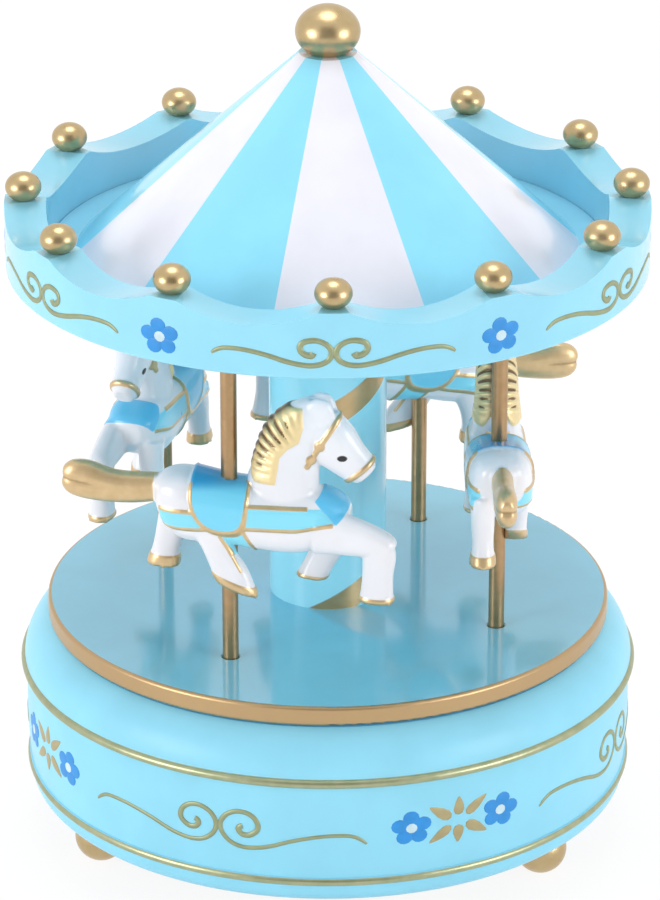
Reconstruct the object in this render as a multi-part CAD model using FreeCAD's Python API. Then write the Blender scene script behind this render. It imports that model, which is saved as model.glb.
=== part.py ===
import FreeCAD, Part
import math
import os

from FreeCAD import Placement, Rotation, Vector

os.makedirs("parts", exist_ok=True)

# All sizes in millimetres, angles in degrees.
# Z is up, the origin is on the table under the middle of the base, -Y is the front.

# Clearances
running_gap = 0.05          # radial, a shaft that turns in a bore
seat_gap = 0.02             # radial, a piece that is set fast in a bore
free_gap = 0.4              # between pieces that move past each other

# Feet
foot_count = 3
foot_first_angle = 56.6
foot_circle_radius = 48.8
foot_ball_radius = 5.0
foot_flat_drop = 0.15
foot_seat_drop = 0.45
foot_dowel_radius = 1.5
foot_dowel_length = 4.0

# Base
base_height = 34.0
base_lip_radius = 55.4
base_lip_round = 2.6
lower_bead_rise = 4.6
lower_bead_radius = 58.7
upper_bead_rise = 25.1
upper_bead_radius = 59.5
bead_height = 1.7
bead_depth = 0.7
shoulder_mid_radius = 57.2
shoulder_mid_drop = 3.5
shoulder_top_radius = 53.2
key_well_radius = 42.6
key_well_depth = 7.6
cavity_radius = 38.0
cover_thickness = 3.0
cover_side_gap = 0.1
cover_hole_radius = 4.2
cover_screw_count = 3
deck_well_radius = 41.2
deck_well_depth = 4.6
bearing_plate_thickness = 2.4

# Turning deck, column and canopy
deck_gap = 0.5
deck_radius = 54.0
deck_thickness = 3.8
deck_edge_round = 0.7
column_radius = 11.2
column_wall = 1.5
column_length = 67.6
column_plug_length = 4.5
ceiling_thickness = 2.4
ceiling_side_gap = 0.1
rim_drop = 0.5
rim_outer_radius = 60.3
rim_width = 7.8
rim_height = 12.4
rim_edge_round = 0.6
scallop_count = 12
scallop_depth = 2.7
scallop_share = 0.82         # of the straight line between two balls
scallop_first_angle = 1.0
rim_lip = 2.0
rim_ball_inset = 3.6
rim_ball_radius = 3.4
rim_ball_half_height = 2.8
rim_ball_seat_drop = 0.35
rim_ball_dowel_radius = 0.8
rim_ball_dowel_length = 3.0
roof_eave_radius = 47.1
roof_top_radius = 5.4
roof_height = 37.9
roof_wall = 1.4
finial_radius = 6.06
finial_half_height = 5.0
finial_seat_drop = 1.0
tie_rod_radius = 1.5
spindle_radius = 3.0

# Poles and horses
pole_radius = 1.5
pole_circle_radius = 36.7
pole_first_angle = -29.6
pole_socket_depth = 3.0
pole_head_rise = 2.4
pole_hole_chamfer = 0.3
pole_names = ["front", "right", "back", "left"]
horse_turns = {"front": 22.0, "right": 30.5, "back": 38.0, "left": 14.0}
horse_pitches = {"front": 0.0, "right": 0.0, "back": 10.0, "left": 3.0}
horse_lifts = {"front": 0.0, "right": 1.5, "back": 2.6, "left": 2.0}
horse_height = 53.4
horse_seat_height = 30.0
leg_side = 3.4
ear_side = 1.6

# Music movement
bedplate_thickness = 2.2
cylinder_axis_rise = 7.8
cylinder_radius = 5.6
pin_height = 0.6
pin_radius = 0.22
tongue_count = 18
tongue_pitch = 0.66
tongue_gap = 0.24
tongue_length = 7.4
comb_plate_depth = 5.4
comb_thickness = 1.0
crown_teeth = 40
crown_mid_radius = 11.8
crown_face = 2.8
pinion_teeth = 10
crown_root_share = 0.223      # half a tooth's width at its root, of the tooth pitch
crown_tip_share = 0.108
gear_root_share = 0.277
gear_tip_share = 0.107
cheek_thickness = 0.9
cheek_side_gap = 0.5
end_gear_teeth = 28
end_gear_module = 0.4
brake_pinion_teeth = 8
brake_wheel_teeth = 20
brake_wheel_module = 0.42
brake_worm_radius = 0.9
barrel_radius = 9.9
barrel_wall = 0.7
barrel_height = 12.6
spring_thickness = 0.4
spring_turns = 6
spring_side_gap = 0.1
arbor_radius = 2.0
key_wing_radius = 5.2
key_wing_span = 7.6
key_thickness = 2.0
key_floor_gap = 2.0
key_hub_radius = 3.2

# Screws and bearing
cover_screw_radius = 0.9
cover_screw_head = 1.9
cover_screw_bite = 6.0
plate_screw_count = 4
plate_screw_radius = 0.6
plate_screw_head = 1.2
plate_screw_bite = 5.0
bedplate_screw_spots = [(-11.0, 11.0), (-11.0, -11.0), (19.0, -13.0)]
bedplate_screw_radius = 1.1
bedplate_screw_head = 2.2
bedplate_screw_head_height = 1.4
comb_screw_radius = 0.8
bracket_pin_radius = 0.5
bush_sleeve_radius = 4.6
bush_flange_radius = 8.0
bush_flange_height = 1.5
washer_height = 0.6
hub_radius = 12.0
spindle_foot_radius = 6.0
spindle_foot_height = 1.0
finial_bore_depth = 4.5

# Places that follow from the sizes above
rim_inner_radius = rim_outer_radius - rim_width
rim_ball_circle_radius = rim_outer_radius - rim_ball_inset
scallop_chord = scallop_share * 2 * rim_outer_radius * math.sin(math.pi / scallop_count)
cover_screw_circle = (key_well_radius + cavity_radius) / 2
plate_screw_circle = (deck_well_radius + cavity_radius) / 2
underside_z = 2 * foot_ball_radius - foot_flat_drop - foot_seat_drop
base_top_z = underside_z + base_height
deck_bottom_z = base_top_z + deck_gap
deck_top_z = deck_bottom_z + deck_thickness
ceiling_bottom_z = deck_top_z + column_length
ceiling_top_z = ceiling_bottom_z + ceiling_thickness
rim_bottom_z = ceiling_bottom_z - rim_drop
rim_top_z = rim_bottom_z + rim_height
roof_top_z = ceiling_top_z + roof_height
finial_centre_z = roof_top_z + finial_half_height - finial_seat_drop
cover_bottom_z = underside_z + key_well_depth - cover_thickness
cover_top_z = underside_z + key_well_depth
bearing_top_z = base_top_z - deck_well_depth
bearing_bottom_z = bearing_top_z - bearing_plate_thickness
bedplate_top_z = cover_top_z + bedplate_thickness
cylinder_z = bedplate_top_z + cylinder_axis_rise
washer_bottom_z = bearing_top_z + bush_flange_height + running_gap
washer_top_z = washer_bottom_z + washer_height
barrel_bottom_z = bedplate_top_z + 2.6
barrel_top_z = barrel_bottom_z + barrel_height
pole_bottom_z = deck_top_z - pole_socket_depth
pole_top_z = ceiling_top_z + pole_head_rise
foot_angles = [foot_first_angle + 360.0 / foot_count * i for i in range(foot_count)]
screw_angles = [foot_first_angle + 360.0 / cover_screw_count * (i + 0.5) for i in range(cover_screw_count)]
plate_screw_angles = [360.0 / plate_screw_count * (i + 0.5) for i in range(plate_screw_count)]
ball_angles = [scallop_first_angle + 360.0 / scallop_count * i for i in range(scallop_count)]
pole_angles = {name: pole_first_angle + 90.0 * i for i, name in enumerate(pole_names)}

origin = Vector(0, 0, 0)
up = Vector(0, 0, 1)


def around(radius, angle, z=0.0):
    turn = math.radians(angle)
    return Vector(radius * math.sin(turn), -radius * math.cos(turn), z)


def rod(radius, low, high, x=0.0, y=0.0):
    return Part.makeCylinder(radius, high - low, Vector(x, y, low))


def ring(outer, inner, low, high):
    return rod(outer, low, high).cut(rod(inner, low - 1, high + 1))


def rod_x(radius, start, end, y, z):
    return Part.makeCylinder(radius, end - start, Vector(start, y, z), Vector(1, 0, 0))


def block(x0, x1, y0, y1, z0, z1):
    return Part.makeBox(x1 - x0, y1 - y0, z1 - z0, Vector(x0, y0, z0))


def line(start, end):
    return Part.makeLine(Vector(start[0], 0, start[1]), Vector(end[0], 0, end[1]))


def arc(start, middle, end):
    points = [Vector(p[0], 0, p[1]) for p in (start, middle, end)]
    return Part.Arc(points[0], points[1], points[2]).toShape()


def turned(edges):
    face = Part.Face(Part.Wire(edges))
    return face.revolve(origin, up, 360)


def turned_polygon(points):
    loop = list(points) + [points[0]]
    return turned([line(loop[i], loop[i + 1]) for i in range(len(points))])


def ellipsoid(radius, half_height, centre):
    ball = Part.makeSphere(1.0)
    grow = FreeCAD.Matrix()
    grow.scale(radius, radius, half_height)
    shape = ball.transformGeometry(grow)
    shape.translate(centre)
    return shape


def copies_around(shape, count, step=None):
    turn = 360.0 / count if step is None else step
    made = []
    for index in range(count):
        copy = shape.copy()
        copy.rotate(origin, up, index * turn)
        made.append(copy)
    return made


def save(name, shape):
    solids = shape.Solids
    body = solids[0] if len(solids) == 1 else Part.makeCompound(solids)
    body.exportStep("parts/" + name + ".step")
    good = all(s.isValid() for s in solids)
    print(name, len(solids), "solids", round(shape.Volume, 2), "ok" if good else "NOT VALID")


# Feet

def make_feet():
    feet = []
    for angle in foot_angles:
        spot = around(foot_circle_radius, angle)
        centre = Vector(spot.x, spot.y, foot_ball_radius - foot_flat_drop)
        ball = Part.makeSphere(foot_ball_radius, centre)
        slab = rod(2 * foot_ball_radius, 0, underside_z, spot.x, spot.y)
        dowel_end = underside_z + foot_dowel_length
        dowel = rod(foot_dowel_radius, underside_z - 1, dowel_end, spot.x, spot.y)
        feet.append(ball.common(slab).fuse(dowel).removeSplitter())
    return Part.makeCompound(feet)


# Base drum

def make_base_shell():
    lower_z = underside_z + lower_bead_rise
    upper_z = underside_z + upper_bead_rise
    half = bead_height / 2
    lip_z = underside_z + base_lip_round
    lip_side = lower_bead_radius - bead_depth
    lower_in = lower_bead_radius - bead_depth
    upper_in = upper_bead_radius - bead_depth
    side_top = upper_bead_radius - 2 * bead_depth
    mid_z = (lower_z + upper_z) / 2
    side_mid = (lower_in + side_top) / 2 + 0.45
    shoulder_z = upper_z + half
    knee = math.sqrt(0.5)
    lip_mid = (base_lip_radius + (lip_side - base_lip_radius) * knee, lip_z - base_lip_round * knee)
    ledge_z = bearing_bottom_z
    edges = [
        line((key_well_radius, underside_z), (base_lip_radius, underside_z)),
        arc((base_lip_radius, underside_z), lip_mid, (lip_side, lip_z)),
        line((lip_side, lip_z), (lower_in, lower_z - half)),
        arc((lower_in, lower_z - half), (lower_bead_radius, lower_z), (lower_in, lower_z + half)),
        arc((lower_in, lower_z + half), (side_mid, mid_z), (side_top, upper_z - half)),
        line((side_top, upper_z - half), (upper_in, upper_z - half)),
        arc((upper_in, upper_z - half), (upper_bead_radius, upper_z), (upper_in, shoulder_z)),
        arc((upper_in, shoulder_z), (shoulder_mid_radius, base_top_z - shoulder_mid_drop),
            (shoulder_top_radius, base_top_z)),
        line((shoulder_top_radius, base_top_z), (deck_well_radius, base_top_z)),
        line((deck_well_radius, base_top_z), (deck_well_radius, ledge_z)),
        line((deck_well_radius, ledge_z), (cavity_radius, ledge_z)),
        line((cavity_radius, ledge_z), (cavity_radius, cover_top_z)),
        line((cavity_radius, cover_top_z), (key_well_radius, cover_top_z)),
        line((key_well_radius, cover_top_z), (key_well_radius, underside_z)),
    ]
    shell = turned(edges)
    bores = []
    for angle in foot_angles:
        spot = around(foot_circle_radius, angle)
        bores.append(rod(foot_dowel_radius + seat_gap, underside_z - 1,
                         underside_z + foot_dowel_length + 0.3, spot.x, spot.y))
    for angle in screw_angles:
        spot = around(cover_screw_circle, angle)
        bores.append(rod(cover_screw_radius + seat_gap, cover_top_z - 1,
                         cover_top_z + cover_screw_bite + 0.3, spot.x, spot.y))
    for angle in plate_screw_angles:
        spot = around(plate_screw_circle, angle)
        bores.append(rod(plate_screw_radius + seat_gap, bearing_bottom_z - plate_screw_bite - 0.3,
                         bearing_bottom_z + 1, spot.x, spot.y))
    return shell.cut(bores)


def make_bottom_cover():
    cover = rod(key_well_radius - cover_side_gap, cover_bottom_z, cover_top_z)
    bores = [rod(cover_hole_radius, cover_bottom_z - 1, cover_top_z + 1)]
    for angle in screw_angles:
        spot = around(cover_screw_circle, angle)
        sunk = Part.makeCone(cover_screw_head, cover_screw_radius + seat_gap,
                             cover_screw_head - cover_screw_radius,
                             Vector(spot.x, spot.y, cover_bottom_z))
        bores.append(sunk)
        bores.append(rod(cover_screw_radius + seat_gap, cover_bottom_z - 1, cover_top_z + 1, spot.x, spot.y))
    for x, y in bedplate_screw_spots:
        bores.append(rod(bedplate_screw_radius + seat_gap, cover_bottom_z - 1, cover_top_z + 1, x, y))
    return cover.cut(bores)


def make_cover_screws():
    screws = []
    for angle in screw_angles:
        spot = around(cover_screw_circle, angle)
        head = Part.makeCone(cover_screw_head - seat_gap, cover_screw_radius,
                             cover_screw_head - cover_screw_radius,
                             Vector(spot.x, spot.y, cover_bottom_z))
        shank = rod(cover_screw_radius, cover_bottom_z + 0.8, cover_top_z + cover_screw_bite, spot.x, spot.y)
        slot = block(spot.x - 3, spot.x + 3, spot.y - 0.25, spot.y + 0.25,
                     cover_bottom_z - 1, cover_bottom_z + 0.5)
        screws.append(head.fuse(shank).cut(slot))
    return Part.makeCompound(screws)


def make_bearing_plate():
    plate = rod(deck_well_radius - cover_side_gap, bearing_bottom_z, bearing_top_z)
    bores = [rod(bush_sleeve_radius + seat_gap, bearing_bottom_z - 1, bearing_top_z + 1)]
    for angle in plate_screw_angles:
        spot = around(plate_screw_circle, angle)
        bores.append(rod(plate_screw_radius + seat_gap, bearing_bottom_z - 1, bearing_top_z + 1,
                         spot.x, spot.y))
    return plate.cut(bores)


def make_bearing_screws():
    screws = []
    for angle in plate_screw_angles:
        spot = around(plate_screw_circle, angle)
        shank = rod(plate_screw_radius, bearing_bottom_z - plate_screw_bite, bearing_top_z + 0.2,
                    spot.x, spot.y)
        head = rod(plate_screw_head, bearing_top_z, bearing_top_z + 0.9, spot.x, spot.y)
        slot = block(spot.x - 2, spot.x + 2, spot.y - 0.2, spot.y + 0.2,
                     bearing_top_z + 0.5, bearing_top_z + 2)
        screws.append(shank.fuse(head).cut(slot).removeSplitter())
    return Part.makeCompound(screws)


def make_bush():
    bore = spindle_radius + running_gap
    low = bearing_bottom_z - 0.4
    flange_top = bearing_top_z + bush_flange_height
    return turned_polygon([
        (bore, low), (bush_sleeve_radius, low), (bush_sleeve_radius, bearing_top_z),
        (bush_flange_radius, bearing_top_z), (bush_flange_radius, flange_top), (bore, flange_top)])


# Turning part

def make_washer():
    return ring(bush_flange_radius - 0.6, spindle_radius + seat_gap, washer_bottom_z, washer_top_z)


def make_deck_hub():
    return ring(hub_radius, spindle_radius + seat_gap, washer_top_z, deck_bottom_z)


def make_spindle():
    foot = rod(spindle_foot_radius, barrel_top_z, barrel_top_z + spindle_foot_height)
    shaft = rod(spindle_radius, barrel_top_z, deck_top_z)
    bore = rod(tie_rod_radius + seat_gap, deck_bottom_z - 2, deck_top_z + 1)
    return foot.fuse(shaft).cut(bore).removeSplitter()


def make_deck():
    half = deck_edge_round
    knee = half * (1 - math.sqrt(0.5))
    edges = [
        line((spindle_radius + seat_gap, deck_bottom_z), (deck_radius - half, deck_bottom_z)),
        arc((deck_radius - half, deck_bottom_z), (deck_radius - knee, deck_bottom_z + knee),
            (deck_radius, deck_bottom_z + half)),
        line((deck_radius, deck_bottom_z + half), (deck_radius, deck_top_z - half)),
        arc((deck_radius, deck_top_z - half), (deck_radius - knee, deck_top_z - knee),
            (deck_radius - half, deck_top_z)),
        line((deck_radius - half, deck_top_z), (spindle_radius + seat_gap, deck_top_z)),
        line((spindle_radius + seat_gap, deck_top_z), (spindle_radius + seat_gap, deck_bottom_z)),
    ]
    deck = turned(edges)
    bores = []
    for angle in pole_angles.values():
        spot = around(pole_circle_radius, angle)
        hole = pole_radius + running_gap
        bores.append(rod(hole, pole_bottom_z - running_gap, deck_top_z + 1, spot.x, spot.y))
        bores.append(Part.makeCone(hole, hole + pole_hole_chamfer, pole_hole_chamfer,
                                   Vector(spot.x, spot.y, deck_top_z - pole_hole_chamfer)))
    return deck.cut(bores)


def make_column():
    return ring(column_radius, column_radius - column_wall, deck_top_z, ceiling_bottom_z)


def make_column_plug(low):
    radius = column_radius - column_wall - seat_gap
    return ring(radius, tie_rod_radius + seat_gap, low, low + column_plug_length)


def make_ceiling():
    plate = rod(rim_inner_radius - ceiling_side_gap, ceiling_bottom_z, ceiling_top_z)
    bores = [rod(tie_rod_radius + seat_gap, ceiling_bottom_z - 1, ceiling_top_z + 1)]
    for angle in pole_angles.values():
        spot = around(pole_circle_radius, angle)
        bores.append(rod(pole_radius + running_gap, ceiling_bottom_z - 1, ceiling_top_z + 1, spot.x, spot.y))
    return plate.cut(bores)


def make_rim():
    lip = rim_inner_radius - rim_lip
    half = rim_edge_round
    knee = half * (1 - math.sqrt(0.5))
    outer = rim_outer_radius
    edges = [
        line((lip, rim_bottom_z), (outer - half, rim_bottom_z)),
        arc((outer - half, rim_bottom_z), (outer - knee, rim_bottom_z + knee), (outer, rim_bottom_z + half)),
        line((outer, rim_bottom_z + half), (outer, rim_top_z)),
        line((outer, rim_top_z), (rim_inner_radius, rim_top_z)),
        line((rim_inner_radius, rim_top_z), (rim_inner_radius, ceiling_bottom_z)),
        line((rim_inner_radius, ceiling_bottom_z), (lip, ceiling_bottom_z)),
        line((lip, ceiling_bottom_z), (lip, rim_bottom_z)),
    ]
    blank = turned(edges)
    radius = (scallop_chord ** 2 / 4 + scallop_depth ** 2) / (2 * scallop_depth)
    cuts = []
    for index in range(scallop_count):
        angle = scallop_first_angle + 360.0 / scallop_count * (index + 0.5)
        start = around(rim_inner_radius - 8, angle, rim_top_z - scallop_depth + radius)
        way = around(1.0, angle)
        cuts.append(Part.makeCylinder(radius, rim_outer_radius - rim_inner_radius + 16, start, way))
    for angle in ball_angles:
        spot = around(rim_ball_circle_radius, angle)
        cuts.append(rod(rim_ball_dowel_radius + seat_gap, rim_top_z - rim_ball_dowel_length - 0.3,
                        rim_top_z + 1, spot.x, spot.y))
    return blank.cut(cuts)


def make_rim_balls():
    balls = []
    for angle in ball_angles:
        spot = around(rim_ball_circle_radius, angle)
        centre = Vector(spot.x, spot.y, rim_top_z + rim_ball_half_height - rim_ball_seat_drop)
        ball = ellipsoid(rim_ball_radius, rim_ball_half_height, centre)
        ball = ball.common(rod(3 * rim_ball_radius, rim_top_z, rim_top_z + 20, spot.x, spot.y))
        dowel = rod(rim_ball_dowel_radius, rim_top_z - rim_ball_dowel_length, rim_top_z + 1, spot.x, spot.y)
        balls.append(ball.fuse(dowel).removeSplitter())
    return Part.makeCompound(balls)


def make_roof():
    slope = roof_height / (roof_eave_radius - roof_top_radius)
    drop = roof_wall * math.sqrt(1 + slope ** 2)
    bore = tie_rod_radius + seat_gap
    inner_top_z = roof_top_z - roof_wall
    inner_top = roof_top_radius + (roof_top_z - drop - inner_top_z) / slope
    inner_eave = roof_eave_radius - drop / slope
    return turned_polygon([
        (inner_eave, ceiling_top_z), (roof_eave_radius, ceiling_top_z), (roof_top_radius, roof_top_z),
        (bore, roof_top_z), (bore, inner_top_z), (inner_top, inner_top_z)])


def make_finial():
    ball = ellipsoid(finial_radius, finial_half_height, Vector(0, 0, finial_centre_z))
    ball = ball.common(rod(3 * finial_radius, roof_top_z, roof_top_z + 30))
    return ball.cut(rod(tie_rod_radius + seat_gap, roof_top_z - 1, roof_top_z + finial_bore_depth + 0.2))


def make_tie_rod():
    return rod(tie_rod_radius, deck_bottom_z - 1.8, roof_top_z + finial_bore_depth)


# Music movement

def spur_gear(teeth, module, low, high, y, z, phase=0.0):
    pitch_radius = teeth * module / 2
    tip = pitch_radius + 0.8 * module
    root = pitch_radius - 1.1 * module
    step = 360.0 / teeth
    points = []
    for index in range(teeth):
        middle = phase + index * step
        left = [(root, -gear_root_share), (tip, -gear_tip_share)]
        right = [(tip, gear_tip_share), (root, gear_root_share)]
        for radius, share in left + right:
            turn = math.radians(middle + share * step)
            points.append(Vector(low, y + radius * math.cos(turn), z + radius * math.sin(turn)))
    points.append(points[0])
    return Part.Face(Part.makePolygon(points)).extrude(Vector(high - low, 0, 0))


crown_pitch = 2 * math.pi * crown_mid_radius / crown_teeth
pinion_module = crown_pitch / math.pi
pinion_pitch_radius = pinion_teeth * pinion_module / 2
crown_pitch_z = cylinder_z - pinion_pitch_radius
crown_tip_z = crown_pitch_z + 0.8 * pinion_module
crown_root_z = crown_pitch_z - 1.1 * pinion_module
crown_inner = crown_mid_radius - crown_face / 2
crown_outer = crown_mid_radius + crown_face / 2
pinion_start = crown_inner
pinion_end = crown_outer
inner_post_start = crown_outer + 0.8
inner_post_end = inner_post_start + 1.4
drum_start = inner_post_end + free_gap
drum_end = drum_start + tongue_count * tongue_pitch + 0.4
near_cheek = drum_end + cheek_side_gap
gear_start = near_cheek + cheek_thickness + cheek_side_gap
gear_end = gear_start + 1.0
outer_post_start = gear_end + 0.6
outer_post_end = outer_post_start + 1.4
cylinder_pivot_radius = 0.9
brake_distance = (end_gear_teeth + brake_pinion_teeth) * end_gear_module / 2 + 0.1
brake_y = -brake_distance
brake_wheel_radius = brake_wheel_teeth * brake_wheel_module / 2
brake_wheel_start = outer_post_start + 0.4
brake_wheel_end = brake_wheel_start + 1.0
brake_pivot_radius = 0.5
far_cheek = brake_wheel_end + 0.7
fan_x = (brake_wheel_start + brake_wheel_end) / 2
fan_y = brake_y - brake_wheel_radius - 0.8 * brake_wheel_module - brake_worm_radius - 0.15
fan_blade_span = 2.4
fan_top_z = bearing_bottom_z - 2.0
comb_tip_y = cylinder_radius + pin_height + 0.25
comb_seat_y = comb_tip_y + tongue_length
comb_screw_y = comb_seat_y + comb_plate_depth / 2
comb_screw_xs = [drum_start + 2.6, drum_end - 2.6]
bracket_pin_x = gear_start + 0.3


def make_bedplate():
    plate = block(-15.0, outer_post_end + 4.0, -18.0, comb_seat_y + comb_plate_depth + 1.0,
                  cover_top_z, bedplate_top_z)
    plate = plate.common(rod(cavity_radius - 1.0, cover_top_z - 1, bedplate_top_z + 1))
    bush = rod(arbor_radius + 2.0, bedplate_top_z - 0.5, barrel_bottom_z - free_gap)
    posts = []
    for start, end in ((inner_post_start, inner_post_end), (outer_post_start, outer_post_end)):
        post = block(start, end, -2.0, 2.0, bedplate_top_z - 0.5, cylinder_z)
        posts.append(post.fuse(rod_x(2.0, start, end, 0, cylinder_z)))
    seat = block(drum_start, drum_end, comb_seat_y, comb_seat_y + comb_plate_depth,
                 bedplate_top_z - 0.5, cylinder_z - comb_thickness / 2)
    solid = plate.multiFuse([bush, seat] + posts).removeSplitter()
    bores = [rod(arbor_radius + running_gap, cover_top_z - 1, barrel_bottom_z + 1)]
    bores.append(rod_x(cylinder_pivot_radius + running_gap, inner_post_start - 1, outer_post_end + 1,
                       0, cylinder_z))
    for x, y in bedplate_screw_spots:
        bores.append(rod(bedplate_screw_radius + seat_gap, cover_top_z - 1, bedplate_top_z - 0.4, x, y))
    for x in comb_screw_xs:
        bores.append(rod(comb_screw_radius + seat_gap, cylinder_z - 4.3, cylinder_z + 1, x, comb_screw_y))
    bores.append(rod(bracket_pin_radius + seat_gap, bedplate_top_z - 1.2, bedplate_top_z + 1,
                     bracket_pin_x, brake_y))
    return solid.cut(bores)


def make_bedplate_screws():
    screws = []
    for x, y in bedplate_screw_spots:
        low = cover_bottom_z - bedplate_screw_head_height
        head = rod(bedplate_screw_head, low, cover_bottom_z, x, y)
        shank = rod(bedplate_screw_radius, cover_bottom_z - 0.5, bedplate_top_z - 0.6, x, y)
        slot = block(x - 3, x + 3, y - 0.3, y + 0.3, low - 1, low + 0.6)
        screws.append(head.fuse(shank).cut(slot).removeSplitter())
    return Part.makeCompound(screws)


def make_comb():
    low = cylinder_z - comb_thickness / 2
    high = low + comb_thickness
    plate = block(drum_start, drum_end, comb_seat_y - 0.4, comb_seat_y + comb_plate_depth, low, high)
    tongues = []
    first = drum_start + 0.2 + tongue_gap / 2
    for index in range(tongue_count):
        x = first + index * tongue_pitch
        tongues.append(block(x, x + tongue_pitch - tongue_gap, comb_tip_y, comb_seat_y, low, high))
    comb = plate.multiFuse(tongues).removeSplitter()
    holes = [rod(comb_screw_radius + seat_gap, low - 1, low + 3, x, comb_screw_y) for x in comb_screw_xs]
    return comb.cut(holes)


def make_comb_screws():
    top = cylinder_z + comb_thickness / 2
    screws = []
    for x in comb_screw_xs:
        head = rod(comb_screw_radius * 2, top, top + 1.0, x, comb_screw_y)
        shank = rod(comb_screw_radius, cylinder_z - 4.0, top + 0.2, x, comb_screw_y)
        slot = block(x - 2, x + 2, comb_screw_y - 0.2, comb_screw_y + 0.2, top + 0.5, top + 2)
        screws.append(head.fuse(shank).cut(slot).removeSplitter())
    return Part.makeCompound(screws)


def make_cylinder():
    drum = rod_x(cylinder_radius, drum_start, drum_end, 0, cylinder_z)
    shaft = rod_x(cylinder_pivot_radius, pinion_start, outer_post_end + 0.5, 0, cylinder_z)
    pinion = spur_gear(pinion_teeth, pinion_module, pinion_start, pinion_end, 0, cylinder_z, -90.0)
    gear = spur_gear(end_gear_teeth, end_gear_module, gear_start, gear_end, 0, cylinder_z, 180.0)
    joint = rod_x(cylinder_radius * 0.6, drum_end - 0.2, gear_start + 0.2, 0, cylinder_z)
    pins = []
    first = drum_start + 0.2 + tongue_pitch / 2
    for index in range(tongue_count):
        for beat in range(3):
            turn = math.radians(index * 137.5 + beat * 111.0)
            way = Vector(0, math.cos(turn), math.sin(turn))
            foot = Vector(first + index * tongue_pitch, 0, cylinder_z) + way * (cylinder_radius - 0.3)
            pins.append(Part.makeCylinder(pin_radius, pin_height + 0.3, foot, way))
    return drum.multiFuse([shaft, pinion, gear, joint] + pins)


def make_bracket():
    low = bedplate_top_z
    reach = fan_y - 2.0
    foot = block(near_cheek, far_cheek + cheek_thickness, reach, brake_y + 2.0, low, low + 0.9)
    cheeks = []
    for x in (near_cheek, far_cheek):
        cheek = block(x, x + cheek_thickness, brake_y - 1.6, brake_y + 1.6, low + 0.5, cylinder_z)
        cheeks.append(cheek.fuse(rod_x(1.6, x, x + cheek_thickness, brake_y, cylinder_z)))
    far_side = far_cheek + cheek_thickness
    arm_top = fan_top_z + 0.8
    arm_post = block(far_cheek, far_side, brake_y - 1.6, brake_y + 0.2, low + 0.5, arm_top)
    arm = block(fan_x - 1.2, far_side, fan_y - 1.2, brake_y + 0.2, fan_top_z, arm_top)
    pin = rod(bracket_pin_radius, low - 1.0, low + 0.5, bracket_pin_x, brake_y)
    body = foot.multiFuse(cheeks + [arm_post, arm, pin]).removeSplitter()
    bores = [
        rod_x(brake_pivot_radius + running_gap, near_cheek - 1, far_cheek + 3, brake_y, cylinder_z),
        rod(brake_pivot_radius + running_gap, low + 0.3, low + 2, fan_x, fan_y),
        rod(brake_pivot_radius + running_gap, fan_top_z - 1, fan_top_z + 0.6, fan_x, fan_y),
    ]
    cavity = rod(cavity_radius - 0.6, low - 2, fan_top_z + 2)
    return body.cut(bores).common(cavity)


def make_brake_wheel():
    shaft = rod_x(brake_pivot_radius, near_cheek, far_cheek + cheek_thickness, brake_y, cylinder_z)
    phase = 180.0 / brake_pinion_teeth
    pinion = spur_gear(brake_pinion_teeth, end_gear_module, gear_start - 0.2, gear_end + 0.2,
                       brake_y, cylinder_z, phase)
    wheel = spur_gear(brake_wheel_teeth, brake_wheel_module, brake_wheel_start, brake_wheel_end,
                      brake_y, cylinder_z)
    return shaft.multiFuse([pinion, wheel])


def make_fan():
    low = bedplate_top_z + 0.9
    shaft = rod(brake_pivot_radius, low - 0.5, fan_top_z + 0.5, fan_x, fan_y)
    worm = rod(brake_worm_radius, cylinder_z - 3.0, cylinder_z + 3.0, fan_x, fan_y)
    blade_top = fan_top_z - free_gap
    blade = block(fan_x - fan_blade_span, fan_x + fan_blade_span, fan_y - 0.2, fan_y + 0.2,
                  blade_top - 2.2, blade_top)
    boss = rod(1.1, blade_top - 2.2, blade_top, fan_x, fan_y)
    return shaft.multiFuse([worm, blade, boss]).removeSplitter()


def make_barrel():
    inner = barrel_radius - barrel_wall
    bore = arbor_radius + running_gap
    low = barrel_bottom_z
    return turned_polygon([
        (bore, low), (barrel_radius, low), (barrel_radius, barrel_top_z), (0, barrel_top_z),
        (0, barrel_top_z - 1.0), (inner, barrel_top_z - 1.0), (inner, low + 1.0), (bore, low + 1.0)])


def make_crown():
    body = ring(crown_outer, barrel_radius + seat_gap, barrel_bottom_z, crown_root_z)
    half_root = crown_pitch * crown_root_share
    half_tip = crown_pitch * crown_tip_share
    low = crown_root_z - 0.2
    points = [
        Vector(crown_inner, -half_root, low), Vector(crown_inner, half_root, low),
        Vector(crown_inner, half_tip, crown_tip_z), Vector(crown_inner, -half_tip, crown_tip_z)]
    points.append(points[0])
    tooth = Part.Face(Part.makePolygon(points)).extrude(Vector(crown_face, 0, 0))
    tooth = tooth.common(rod(crown_outer, low - 1, crown_tip_z + 1))
    tooth.rotate(origin, up, 180.0 / crown_teeth)
    return body.multiFuse(copies_around(tooth, crown_teeth)).removeSplitter()


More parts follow.
